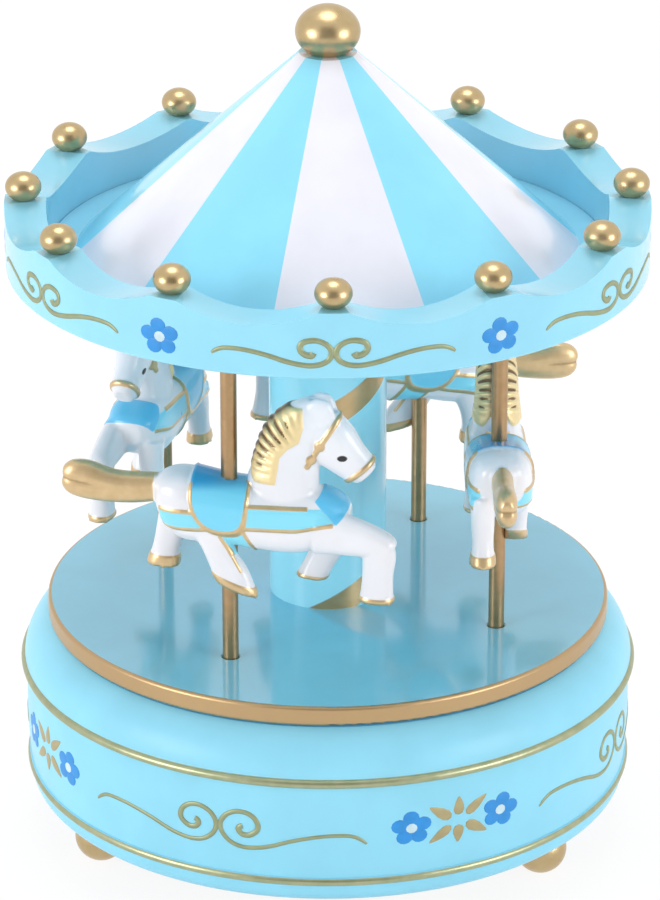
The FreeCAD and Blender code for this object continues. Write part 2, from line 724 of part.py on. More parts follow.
def make_mainspring():
    inner = arbor_radius + 1.2
    outer = barrel_radius - barrel_wall - spring_thickness - spring_side_gap
    half_turns = 2 * spring_turns
    step = (outer - inner) / half_turns

    def coil(offset):
        edges = []
        radius = inner + offset
        centre = 0.0
        side = 1
        first = Vector(centre + side * radius, 0, 0)
        for index in range(half_turns):
            start = Vector(centre + side * radius, 0, 0)
            middle = Vector(centre, side * radius, 0)
            end = Vector(centre - side * radius, 0, 0)
            edges.append(Part.Arc(start, middle, end).toShape())
            centre += side * step
            radius += step
            side = -side
        return edges, first, end

    near, near_first, near_end = coil(0.0)
    far, far_first, far_end = coil(spring_thickness)
    caps = [Part.makeLine(near_first, far_first), Part.makeLine(near_end, far_end)]
    wire = Part.Wire(Part.__sortEdges__(near + far + caps))
    strip = Part.Face(wire).extrude(Vector(0, 0, barrel_height - 4.0))
    strip.translate(Vector(0, 0, barrel_bottom_z + 1.0))
    return strip


# Winding key

def make_arbor():
    return rod(arbor_radius, key_floor_gap + key_wing_radius, barrel_top_z - 1.0 - free_gap)


def make_key():
    centre_z = key_floor_gap + key_wing_radius
    wings = []
    holes = []
    for side in (-1, 1):
        spot = Vector(side * key_wing_span, -key_thickness / 2, centre_z)
        wings.append(Part.makeCylinder(key_wing_radius, key_thickness, spot, Vector(0, 1, 0)))
        holes.append(Part.makeCylinder(key_wing_radius * 0.52, key_thickness * 3,
                                       spot - Vector(0, key_thickness, 0), Vector(0, 1, 0)))
    web = block(-key_wing_span, key_wing_span, -key_thickness / 2, key_thickness / 2,
                centre_z - 2.2, centre_z + 2.2)
    hub = rod(key_hub_radius, centre_z - 3.4, cover_bottom_z - free_gap)
    key = hub.multiFuse(wings + [web]).removeSplitter()
    return key.cut(holes + [rod(arbor_radius, centre_z, cover_bottom_z + 1)])


# Horse, built with its pole axis on Z, the deck at height 0 and its nose along +X

def rounded_section(u, side, w, lean, half_rise, half_width, share):
    turn = math.radians(lean)
    rise = Vector(-math.sin(turn), 0, math.cos(turn))
    wide = Vector(0, 1, 0)
    centre = Vector(u, side, w)
    corner = share * min(half_rise, half_width)
    flat_r = half_rise - corner
    flat_w = half_width - corner
    knee = corner * math.sqrt(0.5)
    edges = []
    turns = [(1, 1), (-1, 1), (-1, -1), (1, -1)]
    for index, (a, b) in enumerate(turns):
        hub = centre + wide * (a * flat_w) + rise * (b * flat_r)
        along = wide * (a * corner)
        over = rise * (b * corner)
        first, last = (along, over) if index % 2 == 0 else (over, along)
        mid = wide * (a * knee) + rise * (b * knee)
        edges.append(Part.Arc(hub + first, hub + mid, hub + last).toShape())
        a2, b2 = turns[(index + 1) % 4]
        next_hub = centre + wide * (a2 * flat_w) + rise * (b2 * flat_r)
        next_first = rise * (b2 * corner) if index % 2 == 0 else wide * (a2 * corner)
        edges.append(Part.makeLine(hub + last, next_hub + next_first))
    return Part.Wire(edges)


def limb(stations, side, share=0.8):
    wires = []
    for u, w, lean, rise, width in stations:
        size = station_unit
        wires.append(rounded_section(u * size, side, w * size, lean, rise * size, width * size, share))
    return Part.makeLoft(wires, True, False)


# Each station: distance ahead of the pole, height over the deck, lean of the axis, half height, half width.
trunk_stations = [
    (-13.4, 33.0, 0, 2.4, 2.8), (-12.0, 32.6, 0, 4.3, 4.6), (-8.3, 31.1, 0, 6.6, 5.8),
    (0.0, 30.2, 0, 5.9, 5.8), (7.0, 29.3, 0, 6.2, 5.7), (13.0, 29.2, 0, 6.3, 5.6),
    (18.0, 29.7, 0, 5.2, 5.1), (21.2, 30.0, 0, 3.3, 3.9), (22.6, 29.8, 0, 1.9, 2.4)]
neck_stations = [
    (10.4, 31.0, 90, 6.6, 5.0), (10.3, 36.5, 88, 6.4, 4.5), (11.1, 41.6, 80, 5.9, 3.9),
    (12.6, 46.2, 68, 5.3, 3.4), (14.9, 49.8, 60, 3.8, 2.9), (16.4, 52.0, 55, 2.0, 1.9)]
head_stations = [
    (16.8, 47.6, -48, 4.4, 2.9), (19.0, 44.6, -50, 4.9, 3.3), (21.8, 41.6, -49, 4.0, 2.8),
    (24.2, 39.5, -47, 3.3, 2.5), (25.6, 38.3, -45, 2.1, 1.7)]
ear_stations = [
    (16.8, 48.8, 85, 2.9, 1.1), (17.0, 51.0, 85, 2.8, 1.1), (17.1, 52.7, 85, 1.9, 0.8),
    (17.1, 53.4, 85, 0.9, 0.4)]
right_fore_upper = [
    (16.5, 28.0, -5, 4.4, 2.3), (22.5, 27.4, -10, 3.9, 2.4), (28.4, 25.8, -38, 2.9, 2.3),
    (29.5, 24.6, -55, 2.6, 2.2)]
right_fore_lower = [
    (28.4, 26.6, -92, 2.6, 2.1), (28.3, 23.5, -92, 3.1, 2.3), (28.0, 19.5, -92, 2.9, 2.1),
    (27.8, 14.7, -92, 3.2, 2.4)]
left_fore_leg = [
    (18.4, 27.5, -80, 3.6, 2.3), (18.4, 23.0, -98, 3.1, 2.2), (16.6, 19.4, -106, 2.8, 2.0),
    (14.9, 16.0, -95, 2.9, 2.3)]
right_hind_leg = [
    (-3.2, 29.0, -80, 4.2, 2.4), (-1.9, 24.0, -82, 2.8, 2.3), (0.2, 20.0, -92, 3.5, 2.1),
    (1.9, 15.7, -112, 4.2, 2.2)]
left_hind_leg = [
    (-9.4, 29.0, -105, 4.2, 2.3), (-11.2, 24.5, -98, 3.0, 2.2), (-12.3, 20.8, -94, 2.6, 2.0),
    (-13.0, 17.0, -92, 3.1, 2.4)]
tail_stations = [
    (-11.5, 34.0, 180, 2.6, 1.9), (-16.5, 33.5, 180, 3.0, 2.0), (-21.5, 33.5, 176, 3.2, 2.1),
    (-26.5, 34.5, 172, 3.8, 2.1), (-29.6, 35.0, 172, 3.3, 1.9), (-31.2, 35.2, 174, 1.8, 1.1)]
station_unit = horse_height / ear_stations[-1][1]


def make_horse():
    pieces = [
        limb(neck_stations, 0), limb(head_stations, 0),
        limb(ear_stations, ear_side), limb(ear_stations, -ear_side),
        limb(right_fore_upper, -leg_side), limb(right_fore_lower, -leg_side),
        limb(left_fore_leg, leg_side), limb(right_hind_leg, -leg_side), limb(left_hind_leg, leg_side)]
    return limb(trunk_stations, 0, 0.6).multiFuse(pieces)


def placed(shape, name):
    copy = shape.copy()
    copy.rotate(Vector(0, 0, horse_seat_height), Vector(0, 1, 0), -horse_pitches[name])
    copy.translate(up * horse_lifts[name])
    copy = copy.cut(rod(pole_radius + seat_gap, 0, column_length))
    spot = around(pole_circle_radius, pole_angles[name], deck_top_z)
    heading = pole_angles[name] + horse_turns[name]
    copy.Placement = Placement(spot, Rotation(up, heading)).multiply(copy.Placement)
    return copy


def make_pole(name):
    spot = around(pole_circle_radius, pole_angles[name])
    return rod(pole_radius, pole_bottom_z, pole_top_z, spot.x, spot.y)


save("ball_feet", make_feet())
save("base_shell", make_base_shell())
save("bottom_cover", make_bottom_cover())
save("cover_screws", make_cover_screws())
save("bedplate", make_bedplate())
save("bedplate_screws", make_bedplate_screws())
save("comb", make_comb())
save("comb_screws", make_comb_screws())
save("governor_bracket", make_bracket())
save("bearing_plate", make_bearing_plate())
save("bearing_plate_screws", make_bearing_screws())
save("spindle_bush", make_bush())

save("spring_barrel", make_barrel())
save("crown_wheel", make_crown())
save("mainspring", make_mainspring())
save("spindle", make_spindle())
save("thrust_washer", make_washer())
save("deck_hub", make_deck_hub())
save("deck", make_deck())
save("column_foot", make_column_plug(deck_top_z))
save("column", make_column())
save("column_head", make_column_plug(ceiling_bottom_z - column_plug_length))
save("tie_rod", make_tie_rod())
save("ceiling", make_ceiling())
save("canopy_rim", make_rim())
save("rim_balls", make_rim_balls())
save("roof", make_roof())
save("finial", make_finial())

save("music_cylinder", make_cylinder())
save("governor_wheel", make_brake_wheel())
save("governor_fan", make_fan())
save("winding_arbor", make_arbor())
save("winding_key", make_key())

horse = make_horse()
tail = limb(tail_stations, 0).cut(horse)
for name in pole_names:
    save("pole_" + name, make_pole(name))
    save("horse_" + name, placed(horse, name))
    save("tail_" + name, placed(tail, name))
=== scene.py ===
import math

import bmesh
import bpy
import numpy as np
from mathutils import Matrix, Vector


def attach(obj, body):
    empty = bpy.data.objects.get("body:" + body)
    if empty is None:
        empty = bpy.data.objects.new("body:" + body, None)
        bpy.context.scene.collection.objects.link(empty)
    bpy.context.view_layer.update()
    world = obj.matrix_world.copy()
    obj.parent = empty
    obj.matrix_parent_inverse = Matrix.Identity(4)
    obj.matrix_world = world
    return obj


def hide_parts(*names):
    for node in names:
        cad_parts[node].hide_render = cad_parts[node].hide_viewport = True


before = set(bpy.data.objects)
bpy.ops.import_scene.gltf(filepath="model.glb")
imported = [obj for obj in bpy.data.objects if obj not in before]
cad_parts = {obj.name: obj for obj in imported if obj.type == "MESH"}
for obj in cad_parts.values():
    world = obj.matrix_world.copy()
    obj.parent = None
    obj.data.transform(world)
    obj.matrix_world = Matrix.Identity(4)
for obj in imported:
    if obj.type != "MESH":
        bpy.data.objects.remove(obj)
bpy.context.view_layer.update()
mm = 0.001
print("frame loaded")


# Shader maths: a wrapped socket, whose operators add Math nodes.
class Value:
    def __init__(self, tree, socket):
        self.tree = tree
        self.socket = socket

    def node(self, kind, settings=None, inputs=None, output=0):
        made = self.tree.nodes.new(kind)
        for key, setting in (settings or {}).items():
            setattr(made, key, setting)
        for key, given in (inputs or {}).items():
            if isinstance(given, Value):
                self.tree.links.new(given.socket, made.inputs[key])
            else:
                made.inputs[key].default_value = given
        return Value(self.tree, made.outputs[output])

    def maths(self, operation, *values):
        return self.node("ShaderNodeMath", {"operation": operation}, dict(enumerate(values)))

    def __add__(self, other):
        return self.maths("ADD", self, other)

    def __sub__(self, other):
        return self.maths("SUBTRACT", self, other)

    def __rsub__(self, other):
        return self.maths("SUBTRACT", other, self)

    def __mul__(self, other):
        return self.maths("MULTIPLY", self, other)

    def __truediv__(self, other):
        return self.maths("DIVIDE", self, other)

    def __pow__(self, other):
        return self.maths("POWER", self, other)

    def __neg__(self):
        return self.maths("MULTIPLY", self, -1.0)

    def __abs__(self):
        return self.maths("ABSOLUTE", self)

    def fract(self):
        return self.maths("FRACT", self)

    def atLeast(self, other):
        return self.maths("MAXIMUM", self, other)

    def inside(self, limit, soft):      # 1 where the value is under the limit
        return self.node("ShaderNodeMapRange", {"interpolation_type": "SMOOTHSTEP"},
                         {"Value": self, "From Min": limit - soft, "From Max": limit + soft,
                          "To Min": 1.0, "To Max": 0.0})

    def mix(self, colorA, colorB):      # colorA where the value is 0
        inputs = {"Factor": self}
        for slotName, color in ((6, colorA), (7, colorB)):
            inputs[slotName] = color if isinstance(color, Value) else (*color, 1)
        return self.node("ShaderNodeMix", {"data_type": "RGBA"}, inputs, 2)


def linear(red, green, blue):       # from the 0 to 255 scale of a colour picker
    made = []
    for level in (red, green, blue):
        share = level / 255
        made.append(share / 12.92 if share <= 0.04045 else ((share + 0.055) / 1.055) ** 2.4)
    return tuple(made)


def material(name, fixed):          # returns the material, a starting Value and the shader node
    made = bpy.data.materials.new(name)
    made.use_nodes = True
    tree = made.node_tree
    shader = tree.nodes["Principled BSDF"]
    for key, setting in fixed.items():
        shader.inputs[key].default_value = setting
    return made, Value(tree, None), shader


def feed(shader, start, **links):
    names = {"color": "Base Color", "rough": "Roughness", "metal": "Metallic", "normal": "Normal",
             "coat": "Coat Weight"}
    for key, given in links.items():
        start.tree.links.new(given.socket, shader.inputs[names[key]])


def objectPoint(start):             # Object coordinates in metres
    return start.node("ShaderNodeTexCoord", output=3)


def place(start, point):            # the point in millimetres, with its radius and its turn from the front
    parts = start.node("ShaderNodeSeparateXYZ", None, {0: point}).socket.node.outputs
    x, y, z = [Value(start.tree, parts[axis]) * (1 / mm) for axis in "XYZ"]
    return {"x": x, "y": y, "z": z, "radius": (x * x + y * y) ** 0.5,
            "turn": start.maths("ARCTAN2", x, -y) * (180 / math.pi)}


def noise(start, point, scale):
    return start.node("ShaderNodeTexNoise", None, {"Vector": point, "Scale": scale, "Detail": 3.0})


def twoTone(cloud, kind, color):    # the colour, and a darker one of it in patches
    look = clouds[kind]
    return cloud.inside(look["middle"], look["soft"]).mix(color, tuple(level * look["darker"] for level in color))


def roughness(cloud, kind, more=0.0):
    return cloud * clouds[kind]["spread"] + (clouds[kind]["rough"] + more)


def bump(start, height, strength, distance, under=None):
    inputs = {"Height": height, "Strength": strength, "Distance": distance}
    if under is not None:
        inputs["Normal"] = under
    return start.node("ShaderNodeBump", None, inputs)


def relief(start, point, kind, under=None):
    scale, strength, distance = reliefs[kind]
    return bump(start, noise(start, point, scale), strength, distance, under)


# A turned edge takes its true normal here, smoother than its facets. Everything inside it keeps its own.
def roundedNormal(start, at, edge):
    radius = at["radius"]
    outward = ((radius - edge["inner"]) / edge["round"]).atLeast(0.0)
    over = ((at["z"] - edge["top"]) / edge["round"]).atLeast(0.0)
    under = ((edge["bottom"] - at["z"]) / edge["round"]).atLeast(0.0)
    way = start.node("ShaderNodeCombineXYZ", None, {0: at["x"] / radius * outward, 1: at["y"] / radius * outward,
                                                    2: over - under})
    way = start.node("ShaderNodeVectorTransform", {"vector_type": "NORMAL", "convert_from": "OBJECT",
                                                   "convert_to": "WORLD"}, {0: way})
    own = start.node("ShaderNodeNewGeometry", output=1)
    onEdge = 1 - radius.inside(edge["inner"], edge["soft"])
    mixed = start.node("ShaderNodeMix", {"data_type": "VECTOR"}, {"Factor": onEdge, 4: own, 5: way}, 1)
    return start.node("ShaderNodeVectorMath", {"operation": "NORMALIZE"}, {0: mixed})


colors = {
    "blue": linear(150, 222, 246),
    # the deck's blue is a darker copy of the lacquer blue: painted shade on its upward face
    "deckPaintedShadeBlue": linear(128, 209, 234),
    # the column's blue is the lacquer blue made lighter: painted light against the canopy's shade
    "columnPaintedLightBlue": linear(162, 233, 252),
    "roofBlue": linear(142, 226, 252),
    "roofWhite": linear(238, 238, 248),
    "gold": linear(192, 162, 116),
    "goldPale": linear(214, 186, 142),
    # painted shade: the dark gold in the grooves of the mane and tail
    "goldPaintedShade": linear(116, 86, 52),
    "ballPale": linear(203, 181, 140),
    "ball": linear(185, 159, 114),
    "poleGold": linear(188, 156, 118),
    "poleShade": linear(168, 136, 98),
    "lineGold": linear(158, 166, 128),
    "bead": linear(150, 160, 124),
    "beadPale": linear(186, 184, 150),
    "flower": linear(40, 148, 226),
    "flowerPale": linear(206, 232, 240),
    "horseWhite": linear(236, 236, 241),
    "trimPale": linear(226, 198, 153),
    "trim": linear(204, 174, 128),
    "strap": linear(136, 222, 244),
    "blanket": linear(120, 212, 242),
    "collar": linear(98, 196, 238),
    "seat": linear(48, 154, 208),
    "mane": linear(240, 216, 162),
    "leafGold": linear(180, 166, 122),
    "eye": linear(22, 20, 22),
    "brass": linear(214, 180, 104),
    "steel": linear(178, 180, 184),
    "zinc": linear(168, 168, 172),
    "wood": linear(206, 178, 138),
    "woodDark": linear(178, 144, 100),
    "plastic": linear(40, 40, 42),
    "plasticPale": linear(58, 58, 60),
}
gloss = {"coat": 0.35, "goldMetal": 0.75, "bareMetal": 0.9}
# scale of the noise, middle and softness between its two tones, light of the darker tone, roughness and its spread
clouds = {
    "lacquer": {"scale": 90.0, "middle": 0.5, "soft": 0.3, "darker": 0.93, "rough": 0.17, "spread": 0.1},
    "gold": {"scale": 420.0, "middle": 0.52, "soft": 0.6, "rough": 0.26, "spread": 0.16},
    "metal": {"scale": 700.0, "middle": 0.3, "soft": 0.3, "darker": 0.85, "rough": 0.0, "spread": 0.2},
    "horse": {"scale": 120.0, "middle": 0.5, "soft": 0.3, "darker": 0.95, "rough": 0.24, "spread": 0.1},
    "ornament": {"scale": 500.0, "middle": 0.5, "soft": 0.25, "darker": 0.86, "rough": 0.3, "spread": 0.2},
    "wood": {"scale": 130.0, "rough": 0.55, "spread": 0.15},
    "plastic": {"scale": 900.0, "rough": 0.4, "spread": 0.2},
}
# scale of the noise, strength of the bump, its depth in metres
reliefs = {"lacquer": (260.0, 0.05, 0.0003), "roof": (200.0, 0.04, 0.0003), "horse": (700.0, 0.06, 0.0002),
           "ornament": (1500.0, 0.1, 0.0001)}
ringLines = {"cloud": 0.5, "perMillimetre": 9.0, "depth": 0.1}
bumps = {"gold": (0.05, 0.0002), "metal": (0.1, 0.0001), "wood": (0.15, 0.0002)}
finerGold = 6                       # the bump of the gold against its patches


def goldLook(start, point, scale, tones, smoother=0.0):     # brushed-on gold paint: colour, roughness
    look = clouds["gold"]
    cloud = noise(start, point, scale)
    pale, deep = [colors[tone] for tone in tones]
    return cloud.inside(look["middle"], look["soft"]).mix(pale, deep), roughness(cloud, "gold", -smoother)


def lacquerLook(start, point, color, smoother=0.0):     # a sprayed lacquer with a faint unevenness
    cloud = noise(start, point, clouds["lacquer"]["scale"])
    return twoTone(cloud, "lacquer", color), roughness(cloud, "lacquer", -smoother)


def lacquerWith(name, goldMaskOf, base=colors["blue"], tones=("goldPale", "gold"), smoother=0.0, coat=gloss["coat"],
                sheen=0.5, edge=None):
    made, start, shader = material(name, {"Coat Roughness": 0.08, "Specular IOR Level": sheen})
    point = objectPoint(start)
    at = place(start, point)
    mask = goldMaskOf(at)
    paint, paintRough = lacquerLook(start, point, base, smoother)
    gold, goldRough = goldLook(start, point, clouds["gold"]["scale"], tones)
    feed(shader, start, color=mask.mix(paint, gold), rough=paintRough + (goldRough - paintRough) * mask,
         metal=mask * gloss["goldMetal"], coat=(1 - mask) * coat,
         normal=relief(start, point, "lacquer", roundedNormal(start, at, edge) if edge else None))
    return made


beads = {"lower": 14.0, "upper": 34.5, "lowerHalf": 0.7125, "upperHalf": 0.95, "soft": 0.06, "foot": 57.2,
         "footSoft": 0.05}
deckEdge = {"inner": 53.3, "round": 0.7, "top": 47.0, "bottom": 44.6, "soft": 0.02, "goldFrom": 53.35,
            "goldSoft": 0.05}
ribbon = {"pitch": 40.0, "width": 0.135, "start": 44.4, "soft": 0.004}
wholeTurns = 10.0                   # keeps what is given to fract over zero


def beadMask(at):
    lower = abs(at["z"] - beads["lower"]).inside(beads["lowerHalf"], beads["soft"])
    upper = abs(at["z"] - beads["upper"]).inside(beads["upperHalf"], beads["soft"])
    return lower.atLeast(upper) * (1 - at["radius"].inside(beads["foot"], beads["footSoft"]))


def deckMask(at):
    return 1 - at["radius"].inside(deckEdge["goldFrom"], deckEdge["goldSoft"])


def ribbonMask(at):                 # it winds up the column
    rise = (at["z"] - ribbon["start"]) / ribbon["pitch"] - at["turn"] / 360.0 + wholeTurns
    return rise.fract().inside(ribbon["width"], ribbon["soft"])


def noGold(at):
    return at["z"] * 0.0


basePaint = lacquerWith("base lacquer", beadMask, tones=("beadPale", "bead"), smoother=-0.1, coat=0.0, sheen=0.25)
# the deck takes the darker blue: painted shade
deckPaint = lacquerWith("deck lacquer", deckMask, colors["deckPaintedShadeBlue"], ("gold", "poleGold"), smoother=0.1, coat=0.7,
                        edge=deckEdge)
# the column takes the lighter blue: painted light under the canopy
columnPaint = lacquerWith("column lacquer", ribbonMask, colors["columnPaintedLightBlue"])
rimPaint = lacquerWith("rim lacquer", noGold)
stripes = {"pairs": 5, "start": -12.7, "white": 0.5, "soft": 0.001}


def roofLook():
    made, start, shader = material("roof lacquer", {"Coat Weight": 0.4, "Coat Roughness": 0.05})
    point = objectPoint(start)
    turn = place(start, point)["turn"]
    sector = ((turn - stripes["start"]) / (360.0 / stripes["pairs"]) + wholeTurns).fract()
    white = sector.inside(stripes["white"], stripes["soft"])
    blue, rough = lacquerLook(start, point, colors["roofBlue"])
    pale = lacquerLook(start, point, colors["roofWhite"])[0]
    feed(shader, start, color=white.mix(blue, pale), rough=rough, normal=relief(start, point, "roof"))
    return made


def goldPaintLook(name, scale, smoother, tones):
    made, start, shader = material(name, {"Metallic": gloss["bareMetal"]})
    point = objectPoint(start)
    color, rough = goldLook(start, point, scale, tones, smoother)
    fine = noise(start, point, scale * finerGold)
    feed(shader, start, color=color, rough=rough, normal=bump(start, fine, *bumps["gold"]))
    return made


def turnedMetal(name, color, rough):        # lathe lines on screws, shafts and plates
    made, start, shader = material(name, {"Metallic": gloss["bareMetal"]})
    point = objectPoint(start)
    lines = start.maths("SINE", place(start, point)["radius"] * ringLines["perMillimetre"]) * ringLines["depth"]
    rings = noise(start, point, clouds["metal"]["scale"]) * ringLines["cloud"] + lines
    feed(shader, start, color=twoTone(rings, "metal", color), rough=roughness(rings, "metal", rough),
         normal=bump(start, rings, *bumps["metal"]))
    return made


def bareWood():
    made, start, shader = material("bare wood", {})
    wave = start.node("ShaderNodeTexWave", {"bands_direction": "Y"}, {
        "Vector": objectPoint(start), "Scale": clouds["wood"]["scale"], "Distortion": 5.0, "Detail": 3.0})
    grain = Value(start.tree, wave.socket.node.outputs["Fac"])
    feed(shader, start, color=grain.mix(colors["wood"], colors["woodDark"]), rough=roughness(grain, "wood"),
         normal=bump(start, grain, *bumps["wood"]))
    return made


def darkPlastic():
    made, start, shader = material("fan plastic", {})
    cloud = noise(start, objectPoint(start), clouds["plastic"]["scale"])
    feed(shader, start, color=cloud.mix(colors["plastic"], colors["plasticPale"]), rough=roughness(cloud, "plastic"))
    return made


goldPaint = goldPaintLook("gold paint", 380.0, 0.04, ("ballPale", "ball"))
poleGold = goldPaintLook("pole gold", 600.0, 0.0, ("poleGold", "poleShade"))
brass = turnedMetal("movement brass", colors["brass"], 0.24)
steel = turnedMetal("plain steel", colors["steel"], 0.26)
zinc = turnedMetal("cast zinc", colors["zinc"], 0.4)
wood = bareWood()
finishes = {
    basePaint: ["base_shell"], deckPaint: ["deck"], columnPaint: ["column"],
    rimPaint: ["canopy_rim", "ceiling"], roofLook(): ["roof"],
    goldPaint: ["ball_feet", "rim_balls", "finial"],
    poleGold: ["pole_front", "pole_right", "pole_back", "pole_left"],
    brass: ["spindle_bush", "crown_wheel", "music_cylinder", "governor_wheel", "winding_key"],
    steel: ["cover_screws", "bedplate_screws", "comb", "comb_screws", "bearing_plate_screws", "mainspring",
            "spindle", "tie_rod", "winding_arbor", "thrust_washer"],
    zinc: ["bedplate", "governor_bracket", "spring_barrel"],
    wood: ["bottom_cover", "bearing_plate", "column_foot", "column_head", "deck_hub"],
    darkPlastic(): ["governor_fan"],
}
for finish, nodeNames in finishes.items():
    for nodeName in nodeNames:
        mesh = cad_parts[nodeName].data
        mesh.materials.clear()
        mesh.materials.append(finish)
print("finishes on the turned pieces")


# Horse: lofted limbs in millimetres, nose along +X and the pole on Z, melted into one skin.
horse = {
    "ringPoints": 22,
    "between": 5,
    "voxel": 0.34,
    "smoothing": 3,
    "trunkBoxy": 0.68,
    "limbBoxy": 0.86,
    "legSide": 3.4,
    "earSide": 1.6,
    # distance ahead of the pole, height over the deck, lean, half height, half width
    "trunk": [(-13.4, 33.0, 0, 2.3, 2.6), (-12.2, 32.6, 0, 4.2, 4.4), (-8.3, 31.1, 0, 6.6, 5.8),
              (0.0, 30.2, 0, 5.9, 5.8), (7.0, 29.3, 0, 6.2, 5.7), (13.0, 29.2, 0, 6.3, 5.6),
              (18.0, 29.7, 0, 5.2, 5.1), (21.2, 30.0, 0, 3.3, 3.9), (22.6, 29.8, 0, 1.9, 2.4)],
    "neck": [(10.4, 31.0, 90, 6.6, 5.0), (10.3, 36.5, 88, 6.4, 4.5), (11.1, 41.6, 80, 5.9, 3.9),
             (12.6, 46.2, 68, 5.3, 3.4), (14.9, 49.8, 60, 3.8, 2.9), (16.4, 52.0, 55, 2.0, 1.9)],
    "head": [(16.8, 47.6, -48, 4.4, 2.8), (19.0, 44.6, -50, 4.9, 3.3), (21.8, 41.6, -49, 4.0, 2.7),
             (24.2, 39.5, -47, 3.3, 2.5), (25.6, 38.3, -45, 2.2, 1.8)],
    "ear": [(16.8, 48.8, 85, 2.9, 1.1), (17.0, 51.0, 85, 2.8, 1.1), (17.1, 52.7, 85, 1.9, 0.8),
            (17.1, 53.4, 85, 0.9, 0.4)],
    "rightForeUpper": [(16.5, 28.0, -5, 4.4, 2.3), (22.5, 27.4, -10, 3.9, 2.4), (28.4, 25.8, -38, 2.9, 2.3),
                       (29.5, 24.6, -55, 2.6, 2.2)],
    "rightForeLower": [(28.4, 26.6, -92, 2.6, 2.1), (28.3, 23.5, -92, 3.1, 2.3), (28.0, 19.5, -92, 2.9, 2.1),
                       (27.8, 14.7, -92, 3.2, 2.4)],
    "leftFore": [(18.4, 27.5, -80, 3.6, 2.3), (18.4, 23.0, -98, 3.1, 2.2), (16.6, 19.4, -106, 2.8, 2.0),
                 (14.9, 16.0, -95, 2.9, 2.3)],
    "rightHind": [(-3.2, 29.0, -80, 4.2, 2.4), (-1.9, 24.0, -82, 2.8, 2.3), (0.2, 20.0, -92, 3.5, 2.1),
                  (1.9, 15.7, -112, 4.2, 2.2)],
    "leftHind": [(-9.4, 29.0, -105, 4.2, 2.3), (-11.2, 24.5, -98, 3.0, 2.2), (-12.3, 20.8, -94, 2.6, 2.0),
                 (-13.0, 17.0, -92, 3.1, 2.4)],
    "tail": [(-11.5, 34.0, 180, 2.6, 1.9), (-16.5, 33.5, 180, 3.0, 2.0), (-21.5, 33.5, 176, 3.2, 2.1),
             (-26.5, 34.5, 172, 3.8, 2.1), (-29.6, 35.0, 172, 3.3, 1.9), (-31.1, 35.2, 174, 1.9, 1.1)],
}


def ringFrame(station, side):
    u, w, lean, halfRise, halfWidth = station
    turn = Matrix.Rotation(-math.radians(lean), 4, "Y")
    grow = Matrix.Diagonal((1.0, halfWidth, halfRise, 1.0))
    return Matrix.Translation((u, side, w)) @ turn @ grow @ Matrix.Rotation(math.pi / 2, 4, "Y")


def filled(stations, steps):            # stations with smooth ones between them
    made = []
    last = len(stations) - 1
    for index in range(last):
        quad = [stations[max(index - 1, 0)], stations[index], stations[index + 1], stations[min(index + 2, last)]]
        for step in range(steps):
            t = step / steps
            made.append(tuple(
                0.5 * (2 * b + (c - a) * t + (2 * a - 5 * b + 4 * c - d) * t * t + (3 * b - a - 3 * c + d) * t ** 3)
                for a, b, c, d in zip(*quad)))
    made.append(stations[-1])
    return made


def limb(bm, stations, side, boxy):
    rings = [ringFrame(station, side) for station in filled(stations, horse["between"])]
    first = bmesh.ops.create_circle(bm, segments=horse["ringPoints"], radius=1.0)["verts"]
    for vert in first:                  # a boxy ring is a rounded square
        vert.co = Vector([math.copysign(abs(c) ** boxy, c) for c in vert.co])
    bmesh.ops.transform(bm, matrix=rings[0], verts=first)
    ring = list({edge for vert in first for edge in vert.link_edges})
    ends = list(ring)
    for before, after in zip(rings, rings[1:]):
        grown = bmesh.ops.extrude_edge_only(bm, edges=ring)["geom"]
        bmesh.ops.transform(bm, matrix=after @ before.inverted(),
                            verts=[g for g in grown if isinstance(g, bmesh.types.BMVert)])
        ring = [g for g in grown if isinstance(g, bmesh.types.BMEdge) and len(g.link_faces) == 1]
    bmesh.ops.edgeloop_fill(bm, edges=ends)
    bmesh.ops.edgeloop_fill(bm, edges=ring)


def meltedHorse():
    bm = bmesh.new()
    leg, ear = horse["legSide"], horse["earSide"]
    limb(bm, horse["trunk"], 0, horse["trunkBoxy"])
    for key, side in (("neck", 0), ("head", 0), ("tail", 0), ("ear", ear), ("ear", -ear), ("rightForeUpper", -leg),
                      ("rightForeLower", -leg), ("leftFore", leg), ("rightHind", -leg), ("leftHind", leg)):
        limb(bm, horse[key], side, horse["limbBoxy"])
    bmesh.ops.recalc_face_normals(bm, faces=bm.faces)
    mesh = bpy.data.meshes.new("limbs")
    bm.to_mesh(mesh)
    bm.free()
    blank = bpy.data.objects.new("limbs", mesh)
    bpy.context.scene.collection.objects.link(blank)
    melt = blank.modifiers.new("melt", "REMESH")
    melt.mode = "VOXEL"
    melt.voxel_size = horse["voxel"]
    skin = bpy.data.meshes.new_from_object(blank.evaluated_get(bpy.context.evaluated_depsgraph_get()))
    bpy.data.objects.remove(blank)
    bm = bmesh.new()
    bm.from_mesh(skin)
    for _ in range(horse["smoothing"]):
        bmesh.ops.smooth_vert(bm, verts=bm.verts, factor=0.5, use_axis_x=True, use_axis_y=True, use_axis_z=True)
    bm.to_mesh(skin)
    bm.free()
    return skin


def ramp(value, low, high):
    t = np.clip((value - low) / (high - low), 0, 1)
    return t * t * (3 - 2 * t)


